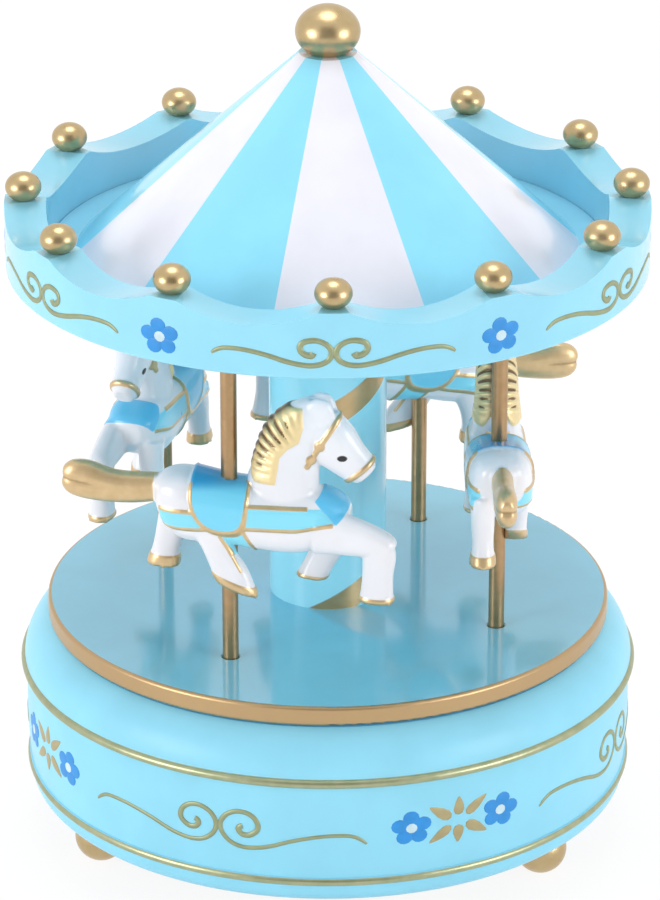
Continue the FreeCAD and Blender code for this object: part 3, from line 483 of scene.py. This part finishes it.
harness = {
    "strapTop": (31.5, 32.9), "strapBottom": (28.0, 28.6), "strapEnds": (-12.5, 15.2, 20.0), "lineHalf": 0.4,
    "collar": (35.7, 39.6), "collarEnds": (6.8, 12.5),
    "strapClimb": (-6, 4), "strapLift": (12, 21, 1.5),
    "blanketMiddle": (-1.2, 37.6), "blanketReach": (5.3, 10.1), "blanketPower": 2.8, "blanketLean": 0.035,
    "blanketStraight": 4, "blanketScale": 1.5, "blanketTop": 44, "pipingHalf": 0.45, "pipingTop": 36.5, "seat": 35.8,
    "girthMiddle": (1.1, 27.5), "girthSlant": 0.53, "girthHalf": 2.5, "girthEnd": 22.6, "girthTail": 19.4,
    "maneEdge": [(36.0, 9.0), (40.0, 9.6), (42.3, 9.9), (44.0, 11.4), (45.2, 13.4), (48.0, 14.2), (52.0, 14.0)],
    "maneFoot": 37.1, "maneParting": (-3.0, -0.8, 2.4), "maneTop": 51.6, "maneBack": 3.0, "maneFan": (16.8, 39.0),
    "strandTurn": 8.5, "hoofMargin": 0.6, "far": 9.0, "gap": 0.3, "edgeGap": 0.2, "bridleGap": 0.1,
    "girthLine": 0.9, "girthTailLine": 0.7, "eyeSide": 1.0,
    "cheekStrap": [(20.4, 49.6), (18.0, 45.9), (14.9, 40.6)], "noseBand": [(27.1, 41.9), (21.0, 36.5)],
    "bridleHalf": 0.55, "rosettes": [(17.2, 44.7, 1.05), (15.6, 41.8, 1.0)],
    "eye": (21.3, 42.4), "eyeReach": (0.95, 0.62),
    "hoofDepths": {"rightForeLower": 1.1, "leftFore": 0.7, "rightHind": 1.6, "leftHind": 2.2},
    "tailStart": (-13.9, -13.1), "tailMiddle": 34.0, "tailReach": (2.6, 1.9), "tailFoot": 28.5,
}


def lineDistance(u, w, points):
    nearest = np.full_like(u, 1e3)
    for (u0, w0), (u1, w1) in zip(points, points[1:]):
        t = ((u - u0) * (u1 - u0) + (w - w0) * (w1 - w0)) / ((u1 - u0) ** 2 + (w1 - w0) ** 2)
        t = np.clip(t, 0, 1)
        nearest = np.minimum(nearest, np.hypot(u - u0 - t * (u1 - u0), w - w0 - t * (w1 - w0)))
    return nearest


def hoofDistance(u, v, w, key, side):       # negative below the top edge of a hoof
    endU, endW, lean, rise, _ = horse[key][-1]
    depth = harness["hoofDepths"][key]
    turn = math.radians(lean)
    along = (u - endU) * math.cos(turn) + (w - endW) * math.sin(turn)
    near = np.maximum(np.hypot(u - endU, w - endW) - rise - depth - harness["hoofMargin"], -side * v)
    return np.maximum(-depth - along, near)


def harnessLines(u, v, w):      # signed distances in millimetres, negative on each painted part
    both = np.maximum
    middleU, middleW = harness["blanketMiddle"]
    reachU, reachW = harness["blanketReach"]
    power = harness["blanketPower"]
    down = both(middleW - w, 0)
    across = np.abs(u - middleU - harness["blanketLean"] * both(down - harness["blanketStraight"], 0) ** 2)
    blanket = ((across / reachU) ** power + (down / reachW) ** power) ** (1 / power) - 1
    blanket = np.where(w > harness["blanketTop"], harness["far"], blanket * (reachU + harness["blanketScale"]))
    rear, topEnd, bottomEnd = harness["strapEnds"]
    low, high = harness["collar"]
    slant = (u + w) * math.sqrt(0.5)
    along = (w - u) * math.sqrt(0.5)
    ahead = ramp(u, *harness["strapClimb"])     # the strap sits lower behind the blanket
    topLine = harness["strapTop"][0] + (harness["strapTop"][1] - harness["strapTop"][0]) * ahead
    top = np.minimum(topLine, low / math.sqrt(0.5) - u)
    bottom = harness["strapBottom"][0] + (harness["strapBottom"][1] - harness["strapBottom"][0]) * ahead
    liftFrom, liftTo, lift = harness["strapLift"]
    bottom = bottom + lift * ramp(u, liftFrom, liftTo)
    gap, edgeGap = harness["gap"], harness["edgeGap"]
    strap = both(both(w - top, bottom - w), both(rear - u, gap - blanket))
    lowEnd, highEnd = harness["collarEnds"]
    collar = both(both(low - slant, slant - high), both(lowEnd - along, along - highEnd))
    half = harness["lineHalf"]
    upperLine = both(np.abs(w - topLine) - half, u - topEnd)
    lowerLine = both(np.abs(w - bottom) - half, u - bottomEnd)
    strapEdge = both(np.minimum(upperLine, lowerLine), both(rear - u, edgeGap - blanket))
    girthU, girthW = harness["girthMiddle"]
    girthSide = np.abs(u - girthU - (girthW - w) * harness["girthSlant"])
    limits = both(both(harness["girthEnd"] - w, w - bottom + edgeGap), gap - blanket)
    girth = both(girthSide - harness["girthHalf"], limits)
    girthEdge = both(np.abs(girthSide - harness["girthHalf"]) - half * harness["girthLine"], limits)
    rearSide = u - girthU - (girthW - w) * harness["girthSlant"] + harness["girthHalf"]
    rearEdge = both(both(harness["girthTail"] - w, w - harness["girthEnd"]), v)
    girthEdge = np.minimum(girthEdge, both(np.abs(rearSide) - half * harness["girthTailLine"], rearEdge))
    edgeW, edgeU = zip(*harness["maneEdge"])
    partFrom, partTo, parting = harness["maneParting"]
    foot = harness["maneFoot"] + parting * ramp(-np.abs(v), partFrom, partTo)   # it parts over the back
    mane = both(u - np.interp(w, edgeW, edgeU), both(foot - w, w - harness["maneTop"]))
    mane = both(mane, harness["maneBack"] - u)
    free, joined = harness["tailStart"]
    reachW, reachV = harness["tailReach"]
    root = (np.hypot((w - harness["tailMiddle"]) / reachW, v / reachV) - 1) * reachV
    tail = np.minimum(both(u - free, harness["tailFoot"] - w), both(u - joined, root))
    bridle = both(lineDistance(u, w, harness["cheekStrap"]) - harness["bridleHalf"], harness["bridleGap"] - mane)
    bridle = np.minimum(bridle, lineDistance(u, w, harness["noseBand"]) - harness["bridleHalf"])
    for spotU, spotW, half in harness["rosettes"]:
        bridle = np.minimum(bridle, np.hypot(u - spotU, w - spotW) - half)
    hooves = np.minimum.reduce([hoofDistance(u, v, w, key, side) for key, side in (
        ("rightForeLower", -1), ("leftFore", 1), ("rightHind", -1), ("leftHind", 1))])
    eyeU, eyeW = harness["eye"]
    reach = harness["eyeReach"]
    eye = (np.hypot((u - eyeU) / reach[0], (w - eyeW) / reach[1]) - 1) * reach[1]
    return {"blanket": blanket, "strap": strap, "collar": collar, "girth": girth, "tail": tail, "mane": mane,
            "bridle": bridle, "hooves": hooves, "strapEdge": strapEdge, "girthEdge": girthEdge,
            "piping": np.abs(blanket) - harness["pipingHalf"], "eye": both(eye, harness["eyeSide"] - np.abs(v))}


# how far each painted part stands out of the skin, and over what width it rises
trims = {"blanket": (0.45, 0.5), "piping": (0.4, 0.4), "bands": (0.2, 0.4), "strapEdge": (0.25, 0.3),
         "girth": (0.2, 0.4), "girthEdge": (0.25, 0.3), "bridle": (0.4, 0.3), "hooves": (0.2, 0.3),
         "eye": (0.2, 0.3)}
# crestShade and sideShade set painted shade along the mane's crest
maneRise = {"height": 1.0, "soft": 0.5, "ground": 0.45, "strand": 0.6, "parting": 0.4, "deepFrom": 0.6, "deepTo": 3.6,
            "edgeFade": 1.4, "crestShade": 0.1, "sideShade": 0.3, "paintedTo": 0.3}
riseEnd = 0.4                       # how far past its line a rise reaches, as a share of its width
# the tail's cut: its depth is carved, and its shade is painted shade
tailCut = {"stations": (11.5, 21.5, 31.1), "heights": (34.0, 33.5, 35.2), "half": 0.55, "from": 21, "to": 27,
           "depth": 0.2, "shade": 0.5}


def raised(distance, height, soft):
    return height * (1 - ramp(distance, -soft, soft * riseEnd))


def dressedHorse():
    skin = meltedHorse()
    count = len(skin.vertices)
    points = np.empty(count * 3)
    skin.vertices.foreach_get("co", points)
    points = points.reshape(-1, 3)
    normals = np.empty(count * 3)
    skin.vertices.foreach_get("normal", normals)
    normals = normals.reshape(-1, 3)
    u, v, w = points.T
    lines = harnessLines(u, v, w)
    fanU, fanW = harness["maneFan"]
    turn = np.degrees(np.arctan2(w - fanW, fanU - u))
    strand = np.abs(np.sin(np.radians(turn * 180 / harness["strandTurn"])))
    deepening = ramp(-lines["mane"], maneRise["deepFrom"], maneRise["deepTo"])
    tailMiddle = np.interp(-u, tailCut["stations"], tailCut["heights"])
    tailGroove = np.exp(-((w - tailMiddle) / tailCut["half"]) ** 2) * ramp(-u, tailCut["from"], tailCut["to"])
    lines["bands"] = np.minimum(lines["strap"], lines["collar"])
    lift = sum(raised(lines[key], *rise) for key, rise in trims.items()) - tailCut["depth"] * tailGroove
    strands = deepening * (maneRise["strand"] * strand - maneRise["parting"])
    lift += raised(lines["mane"], maneRise["height"], maneRise["soft"]) * (maneRise["ground"] + strands)
    skin.vertices.foreach_set("co", (points + normals * lift[:, None]).ravel())
    sidePiping = np.maximum(lines["piping"], w - harness["pipingTop"])
    gold = np.minimum.reduce([sidePiping] + [lines[key] for key in (
        "strapEdge", "girthEdge", "mane", "bridle", "hooves", "tail")])
    # painted shade: the gold turns dark in the mane's strand grooves, along its crest and in the tail's cut
    strandShade = np.minimum(strand + maneRise["edgeFade"] * (1 - deepening),
                         maneRise["crestShade"] + maneRise["sideShade"] * np.abs(v))
    grooveShade = np.where(lines["mane"] < maneRise["paintedTo"], strandShade, 1.0) - tailCut["shade"] * tailGroove
    seat = np.maximum(lines["blanket"], harness["seat"] - w)
    for name, line in (("goldLine", gold), ("blueLine", np.minimum(lines["strap"], lines["girth"])),
                       ("blanketLine", lines["blanket"]), ("collarLine", lines["collar"]), ("seatLine", seat),
                       ("eyeLine", lines["eye"]), ("grooveShadeLine", grooveShade), ("maneLine", lines["mane"])):
        layer = skin.attributes.new(name, "FLOAT", "POINT")
        layer.data.foreach_set("value", line.astype(np.float32))
    skin.shade_smooth()
    skin.update()
    return skin


# the groove limits place the painted shade in the grooves of the mane and tail
brush = {"soft": 0.09, "seatSoft": 0.9, "grooveShade": 0.52, "grooveShadeSoft": 0.2, "goldScale": 500.0, "goldRough": 0.08,
         "goldMetal": 0.7, "lessOnMane": 0.35}


def horseLook():
    made, start, shader = material("painted horse", {"Coat Weight": 0.3, "Coat Roughness": 0.12})
    point = objectPoint(start)

    def within(name, limit=0.0, soft=brush["soft"]):    # 1 inside a line that the mesh carries
        return start.node("ShaderNodeAttribute", {"attribute_name": name}, None, 2).inside(limit, soft)

    cloud = noise(start, point, clouds["horse"]["scale"])
    paint = twoTone(cloud, "horse", colors["horseWhite"])
    for name, tone in (("blueLine", "strap"), ("collarLine", "collar"), ("blanketLine", "blanket")):
        paint = within(name).mix(paint, colors[tone])
    paint = within("seatLine", soft=brush["seatSoft"]).mix(paint, colors["seat"])
    gold = goldLook(start, point, brush["goldScale"], ("trimPale", "trim"))[0]
    maneMask = within("maneLine")
    gold = maneMask.mix(gold, colors["mane"])
    # painted shade: the grooves of the mane and tail take the dark gold
    gold = within("grooveShadeLine", brush["grooveShade"], brush["grooveShadeSoft"]).mix(gold, colors["goldPaintedShade"])
    goldMask = within("goldLine")
    paint = goldMask.mix(paint, gold)
    paint = within("eyeLine").mix(paint, colors["eye"])
    feed(shader, start, color=paint, rough=roughness(cloud, "horse") + goldMask * brush["goldRough"],
         metal=goldMask * brush["goldMetal"] - maneMask * brush["lessOnMane"], normal=relief(start, point, "horse"))
    return made


poles = {"circle": 36.7, "deckTop": 47.7, "firstTurn": -29.6, "seatHeight": 30.0,
         "turns": {"front": 22.0, "right": 30.5, "back": 38.0, "left": 14.0},
         "pitches": {"front": 0.0, "right": 0.0, "back": 10.0, "left": 3.0},
         "lifts": {"front": 0.0, "right": 1.5, "back": 2.6, "left": 2.0}}


def standHorses():
    skin = dressedHorse()
    paint = horseLook()
    for index, (name, extraTurn) in enumerate(poles["turns"].items()):
        turn = math.radians(poles["firstTurn"] + 90 * index)
        spot = Vector((poles["circle"] * math.sin(turn), -poles["circle"] * math.cos(turn), poles["deckTop"]))
        seat = Vector((0, 0, poles["seatHeight"]))
        pitch = Matrix.Rotation(-math.radians(poles["pitches"][name]), 4, "Y")
        stance = Matrix.Translation(spot) @ Matrix.Rotation(turn + math.radians(extraTurn), 4, "Z")
        stance = stance @ Matrix.Translation(seat + Vector((0, 0, poles["lifts"][name])))
        mesh = skin.copy()
        mesh.name = "horse " + name
        mesh.transform(Matrix.Scale(mm, 4) @ stance @ pitch @ Matrix.Translation(-seat))
        mesh.materials.append(paint)
        piece = bpy.data.objects.new("paintedHorse" + name.capitalize(), mesh)
        bpy.context.scene.collection.objects.link(piece)
        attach(piece, "rider_" + name)
        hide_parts("horse_" + name, "tail_" + name)
    bpy.data.meshes.remove(skin)


standHorses()
print("horses painted")


# Painted ornament: flat pieces in millimetres, along the surface and up it, then wrapped round.
ornament = {
    # along, up, half the stroke
    "rimScroll": [(3.6, -0.1, 0.5), (3.95, -0.6, 0.5), (4.85, -0.5, 0.46), (5.75, 0.15, 0.44), (5.95, 1.0, 0.44),
                  (5.45, 1.8, 0.43), (4.2, 2.2, 0.42), (2.85, 2.2, 0.4), (1.5, 1.65, 0.4), (0.65, 0.8, 0.42),
                  (0.4, -0.2, 0.42), (0.85, -1.35, 0.4), (2.25, -2.2, 0.4), (4.1, -2.5, 0.4), (6.2, -2.3, 0.38),
                  (8.7, -1.75, 0.38), (11.4, -0.95, 0.36), (14.5, -0.3, 0.35), (17.3, -0.05, 0.34),
                  (19.8, -0.2, 0.33), (21.4, -0.9, 0.28), (21.9, -1.4, 0.16)],
    "baseScroll": [(4.7, 0.2, 0.42), (4.05, -0.15, 0.44), (4.0, -0.8, 0.44), (4.7, -1.5, 0.44), (6.05, -1.55, 0.43),
                   (7.4, -0.55, 0.42), (7.65, 0.75, 0.42), (6.9, 2.1, 0.4), (5.35, 2.95, 0.38), (3.3, 2.95, 0.38),
                   (1.5, 2.0, 0.38), (0.5, 0.45, 0.4), (0.5, -1.0, 0.38), (1.35, -2.5, 0.36), (2.95, -3.7, 0.35),
                   (5.0, -4.2, 0.34), (7.4, -4.05, 0.33), (10.2, -3.4, 0.32), (13.5, -2.25, 0.31),
                   (16.9, -1.4, 0.3), (20.2, -0.9, 0.3), (23.5, -0.8, 0.3), (25.5, -1.1, 0.29),
                   (27.0, -1.95, 0.26), (27.8, -2.7, 0.16)],
    "strokeSteps": 4, "dropSegments": 18, "dropRings": 6,
    "rimHeight": 119.9, "rimRadius": 60.3, "rimFirst": 1.0, "rimStep": 60.0, "flowerLead": 29.5,
    "baseHeight": 24.6, "baseScrollFirst": -20.2, "baseFlowerFirst": 24.4, "baseStep": 90.0,
    "stand": 0.09, "middleStand": 0.153, "scrollStand": 0.25, "strokeGrow": 1.4, "leafTaper": 0.55,
    "rimCount": 6, "baseCount": 4, "flowerHeart": (1.5, 1.3), "rimFlowerTurn": 8, "pairTurns": (2, -14),
    "petals": 5, "petalRing": (2.4, 2.1), "petalReach": (1.6, 1.4), "flowerEye": (1.2, 1.05),
    "flowerSpots": [(-9.3, -0.3), (8.9, -0.2)],
    # foot along, foot up, tip along, tip up, half width
    "leaves": [(0.0, 0.9, 0.1, 4.7, 1.0), (0.0, -1.1, -0.1, -4.8, 1.0), (1.5, 0.8, 5.9, 3.9, 0.9),
               (-1.5, 0.6, -5.9, 3.4, 1.0), (1.5, -1.0, 6.0, -3.7, 1.0), (-1.5, -1.1, -5.9, -4.0, 0.9)],
}


drum = {"radius": 58.05, "bulge": 0.45, "middle": 24.25, "half": 9.4}


def baseRadius(z):              # the drum bulges a little between its beads
    return drum["radius"] + drum["bulge"] * (1 - ((z - drum["middle"]) / drum["half"]) ** 2)


def rimRadius(z):
    return ornament["rimRadius"]


def scrollStroke(points):       # one flat mesh of a scroll with its mirror image
    path = filled(points, ornament["strokeSteps"])
    curve = bpy.data.curves.new("stroke", "CURVE")
    curve.dimensions = "3D"
    curve.bevel_depth = 1.0
    curve.bevel_resolution = 1
    curve.use_fill_caps = True
    for side in (1, -1):
        spline = curve.splines.new("POLY")
        spline.points.add(len(path) - 1)
        for spot, (along, rise, half) in zip(spline.points, path):
            spot.co = (side * along, 0, rise, 1)
            spot.radius = half * ornament["strokeGrow"]
    blank = bpy.data.objects.new("stroke", curve)
    bpy.context.scene.collection.objects.link(blank)
    mesh = bpy.data.meshes.new_from_object(blank.evaluated_get(bpy.context.evaluated_depsgraph_get()))
    bpy.data.objects.remove(blank)
    return mesh


def drop(bm, spot, reach, turn=0.0, taper=0.0):     # a flat rounded spot, pointed along its length by a taper
    made = bmesh.ops.create_uvsphere(bm, u_segments=ornament["dropSegments"], v_segments=ornament["dropRings"],
                                     radius=1.0)["verts"]
    for vert in made:
        vert.co.z *= 1 - taper * vert.co.x
    grow = Matrix.Diagonal((reach[0], 1.0, reach[1], 1.0))
    bmesh.ops.transform(bm, matrix=Matrix.Translation((spot[0], 0, spot[1]))
                        @ Matrix.Rotation(-turn, 4, "Y") @ grow, verts=made)


def flowerPetals(bm, spot, lead):
    ringAlong, ringUp = ornament["petalRing"]
    for index in range(ornament["petals"]):
        turn = math.radians(90 + lead + 360 * index / ornament["petals"])
        drop(bm, (spot[0] + ringAlong * math.cos(turn), spot[1] + ringUp * math.sin(turn)), ornament["petalReach"])
    drop(bm, spot, ornament["flowerHeart"])


def flatMesh(build):
    bm = bmesh.new()
    build(bm)
    mesh = bpy.data.meshes.new("flat")
    bm.to_mesh(mesh)
    bm.free()
    return mesh


def wrapped(flat, radiusAt, height, turns, stand):
    bm = bmesh.new()
    for turn in turns:
        before = set(bm.verts)
        bm.from_mesh(flat)
        for vert in set(bm.verts) - before:
            along, out, rise = vert.co
            z = height + rise
            radius = radiusAt(z)
            angle = math.radians(turn) + along / radius
            radius -= out * stand
            vert.co = Vector((radius * math.sin(angle), -radius * math.cos(angle), z)) * mm
    bmesh.ops.recalc_face_normals(bm, faces=bm.faces)
    for face in bm.faces:
        face.smooth = True
    mesh = bpy.data.meshes.new("ornament")
    bm.to_mesh(mesh)
    bm.free()
    return mesh


def ornamentPaint(name, color, metal):
    made, start, shader = material(name, {"Metallic": metal})
    point = objectPoint(start)
    cloud = noise(start, point, clouds["ornament"]["scale"])
    feed(shader, start, color=twoTone(cloud, "ornament", color), rough=roughness(cloud, "ornament"),
         normal=relief(start, point, "ornament"))
    return made


def ornamentPiece(name, mesh, paint, body, slotName):
    mesh.materials.append(paint)
    piece = bpy.data.objects.new(name, mesh)
    bpy.context.scene.collection.objects.link(piece)
    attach(piece, body)


def paintOrnaments():
    linePaint = ornamentPaint("scroll gold", colors["lineGold"], 0.35)
    leafPaint = ornamentPaint("leaf gold", colors["leafGold"], 0.25)
    bluePaint = ornamentPaint("flower blue", colors["flower"], 0.0)
    palePaint = ornamentPaint("flower middle", colors["flowerPale"], 0.0)
    stand, middleStand, scrollStand = ornament["stand"], ornament["middleStand"], ornament["scrollStand"]
    rimTurns = [ornament["rimFirst"] + ornament["rimStep"] * i for i in range(ornament["rimCount"])]
    flowerTurns = [turn + ornament["flowerLead"] for turn in rimTurns]
    baseSteps = [ornament["baseStep"] * i for i in range(ornament["baseCount"])]
    scrollTurns = [ornament["baseScrollFirst"] + step for step in baseSteps]
    groupTurns = [ornament["baseFlowerFirst"] + step for step in baseSteps]
    rimHigh, baseHigh = ornament["rimHeight"], ornament["baseHeight"]

    def single(bm):
        flowerPetals(bm, (0, 0), ornament["rimFlowerTurn"])

    def pair(bm):
        for lead, spot in zip(ornament["pairTurns"], ornament["flowerSpots"]):
            flowerPetals(bm, spot, lead)

    def leaves(bm):
        for footAlong, footUp, tipAlong, tipUp, half in ornament["leaves"]:
            length = math.hypot(tipAlong - footAlong, tipUp - footUp)
            drop(bm, ((footAlong + tipAlong) / 2, (footUp + tipUp) / 2), (length / 2, half),
                 math.atan2(tipUp - footUp, tipAlong - footAlong), ornament["leafTaper"])

    def singleEye(bm):
        drop(bm, (0, 0), ornament["flowerEye"])

    def pairEyes(bm):
        for spot in ornament["flowerSpots"]:
            drop(bm, spot, ornament["flowerEye"])

    pieces = [
        ("rimScrolls", scrollStroke(ornament["rimScroll"]), linePaint, rimTurns, scrollStand),
        ("rimFlowers", flatMesh(single), bluePaint, flowerTurns, stand),
        ("rimFlowerMiddles", flatMesh(singleEye), palePaint, flowerTurns, middleStand),
        ("baseScrolls", scrollStroke(ornament["baseScroll"]), linePaint, scrollTurns, scrollStand),
        ("baseFlowers", flatMesh(pair), bluePaint, groupTurns, stand),
        ("baseFlowerMiddles", flatMesh(pairEyes), palePaint, groupTurns, middleStand),
        ("baseLeaves", flatMesh(leaves), leafPaint, groupTurns, stand),
    ]
    for name, flat, paint, turns, rise in pieces:
        onRim = name.startswith("rim")
        mesh = wrapped(flat, rimRadius if onRim else baseRadius, rimHigh if onRim else baseHigh, turns, rise)
        ornamentPiece(name, mesh, paint, "carousel" if onRim else "base",
                      "gold_paint" if paint in (linePaint, leafPaint) else "blue_lacquer")


paintOrnaments()
print("ornament painted")


# Studio
studio = {"target": (0, 0, 0.076), "distance": 0.8572, "elevation": 22.88, "lens": 179.53, "shiftX": 0.00244,
          "clipEnd": 20, "floorHalf": 3.0}
lamps = {"left box": ((-0.85, -0.53, 0.27), 0.55, 4.3), "right box": ((0.85, -0.53, 0.27), 0.55, 3.7),
         "overhead": ((0.0, 0.15, 1.1), 0.6, 3.6)}      # place, size, power
light = {"around": 1.1, "lessAbove": 0.5, "lessAtCamera": 0.6, "floor": 1.05, "floorWhite": 0.85,
         "floorGrey": 0.9, "floorRough": 0.7}
darkCard = {"middle": (0, -1.25, 0.85), "halfWidth": 0.75, "halfHeight": 0.84, "grey": 0.3}


def whiteRays(tree):            # 1 for the rays that show the white background
    rays = tree.nodes.new("ShaderNodeLightPath").outputs
    seen = Value(tree, rays["Is Camera Ray"])
    for ray in ("Is Glossy Ray", "Is Transmission Ray"):
        seen = seen.atLeast(Value(tree, rays[ray]))
    return seen


def floorLook():
    grey = light["floorGrey"]
    made, _, shader = material("studio floor", {"Roughness": light["floorRough"],
                                                "Base Color": (grey, grey, grey, 1)})
    tree = made.node_tree
    glow = tree.nodes.new("ShaderNodeEmission")
    glow.inputs["Color"].default_value = (1, 1, 1, 1)
    glow.inputs["Strength"].default_value = light["floor"]
    seen = whiteRays(tree)
    mixer = tree.nodes.new("ShaderNodeMixShader")
    tree.links.new((seen * light["floorWhite"]).socket, mixer.inputs[0])
    tree.links.new(shader.outputs[0], mixer.inputs[1])
    tree.links.new(glow.outputs[0], mixer.inputs[2])
    tree.links.new(mixer.outputs[0], tree.nodes["Material Output"].inputs[0])
    return made


def standCard():                # the dark camera side of a studio: it shows in metal and lights nothing
    bm = bmesh.new()
    bmesh.ops.create_grid(bm, x_segments=1, y_segments=1, size=1.0)
    grow = Matrix.Diagonal((darkCard["halfWidth"], darkCard["halfHeight"], 1.0, 1.0))
    upright = Matrix.Translation(darkCard["middle"]) @ Matrix.Rotation(math.pi / 2, 4, "X") @ grow
    bmesh.ops.transform(bm, matrix=upright, verts=bm.verts)
    mesh = bpy.data.meshes.new("dark card")
    bm.to_mesh(mesh)
    bm.free()
    made, _, shader = material("dark card", {"Base Color": (0, 0, 0, 1), "Specular IOR Level": 0.0})
    shader.inputs["Emission Color"].default_value = (1, 1, 1, 1)
    shader.inputs["Emission Strength"].default_value = darkCard["grey"]
    mesh.materials.append(made)
    card = bpy.data.objects.new("dark card", mesh)
    card.visible_camera = card.visible_diffuse = card.visible_shadow = card.visible_transmission = False
    bpy.context.scene.collection.objects.link(card)


def lamp(name, spot, size, power):
    bulb = bpy.data.lights.new(name, "AREA")
    bulb.shape = "DISK"
    bulb.size = size
    bulb.energy = power
    made = bpy.data.objects.new(name, bulb)
    made.location = spot
    made.rotation_euler = (Vector(studio["target"]) - Vector(spot)).to_track_quat("-Z", "Y").to_euler()
    bpy.context.scene.collection.objects.link(made)


def setStudio():
    bm = bmesh.new()
    bmesh.ops.create_grid(bm, x_segments=1, y_segments=1, size=studio["floorHalf"])
    mesh = bpy.data.meshes.new("floor")
    bm.to_mesh(mesh)
    bm.free()
    mesh.materials.append(floorLook())
    floor = bpy.data.objects.new("floor", mesh)
    bpy.context.scene.collection.objects.link(floor)
    standCard()
    for name, (spot, size, power) in lamps.items():
        lamp(name, spot, size, power)
    world = bpy.data.worlds.new("studio")
    bpy.context.scene.world = world
    world.use_nodes = True
    tree = world.node_tree
    back = tree.nodes["Background"]
    back.inputs["Color"].default_value = (1, 1, 1, 1)
    seen = whiteRays(tree)
    way = seen.node("ShaderNodeTexCoord", output=0)
    way = seen.node("ShaderNodeSeparateXYZ", None, {0: way}).socket.node.outputs
    above = Value(tree, way[2]).atLeast(0.0) * light["lessAbove"]
    atCamera = (-Value(tree, way[1])).atLeast(0.0) * light["lessAtCamera"]
    glow = light["around"] - above - atCamera
    tree.links.new((glow + (1.0 - glow) * seen).socket, back.inputs["Strength"])
    scene = bpy.context.scene
    scene.view_settings.view_transform = "Standard"
    lens = bpy.data.cameras.new("camera")
    lens.lens = studio["lens"]
    lens.shift_x = studio["shiftX"]
    lens.clip_end = studio["clipEnd"]
    camera = bpy.data.objects.new("camera", lens)
    rise = math.radians(studio["elevation"])
    camera.location = Vector(studio["target"]) + studio["distance"] * Vector((0, -math.cos(rise), math.sin(rise)))
    camera.rotation_euler = (math.pi / 2 - rise, 0, 0)
    scene.collection.objects.link(camera)
    scene.camera = camera


setStudio()
print("studio set")
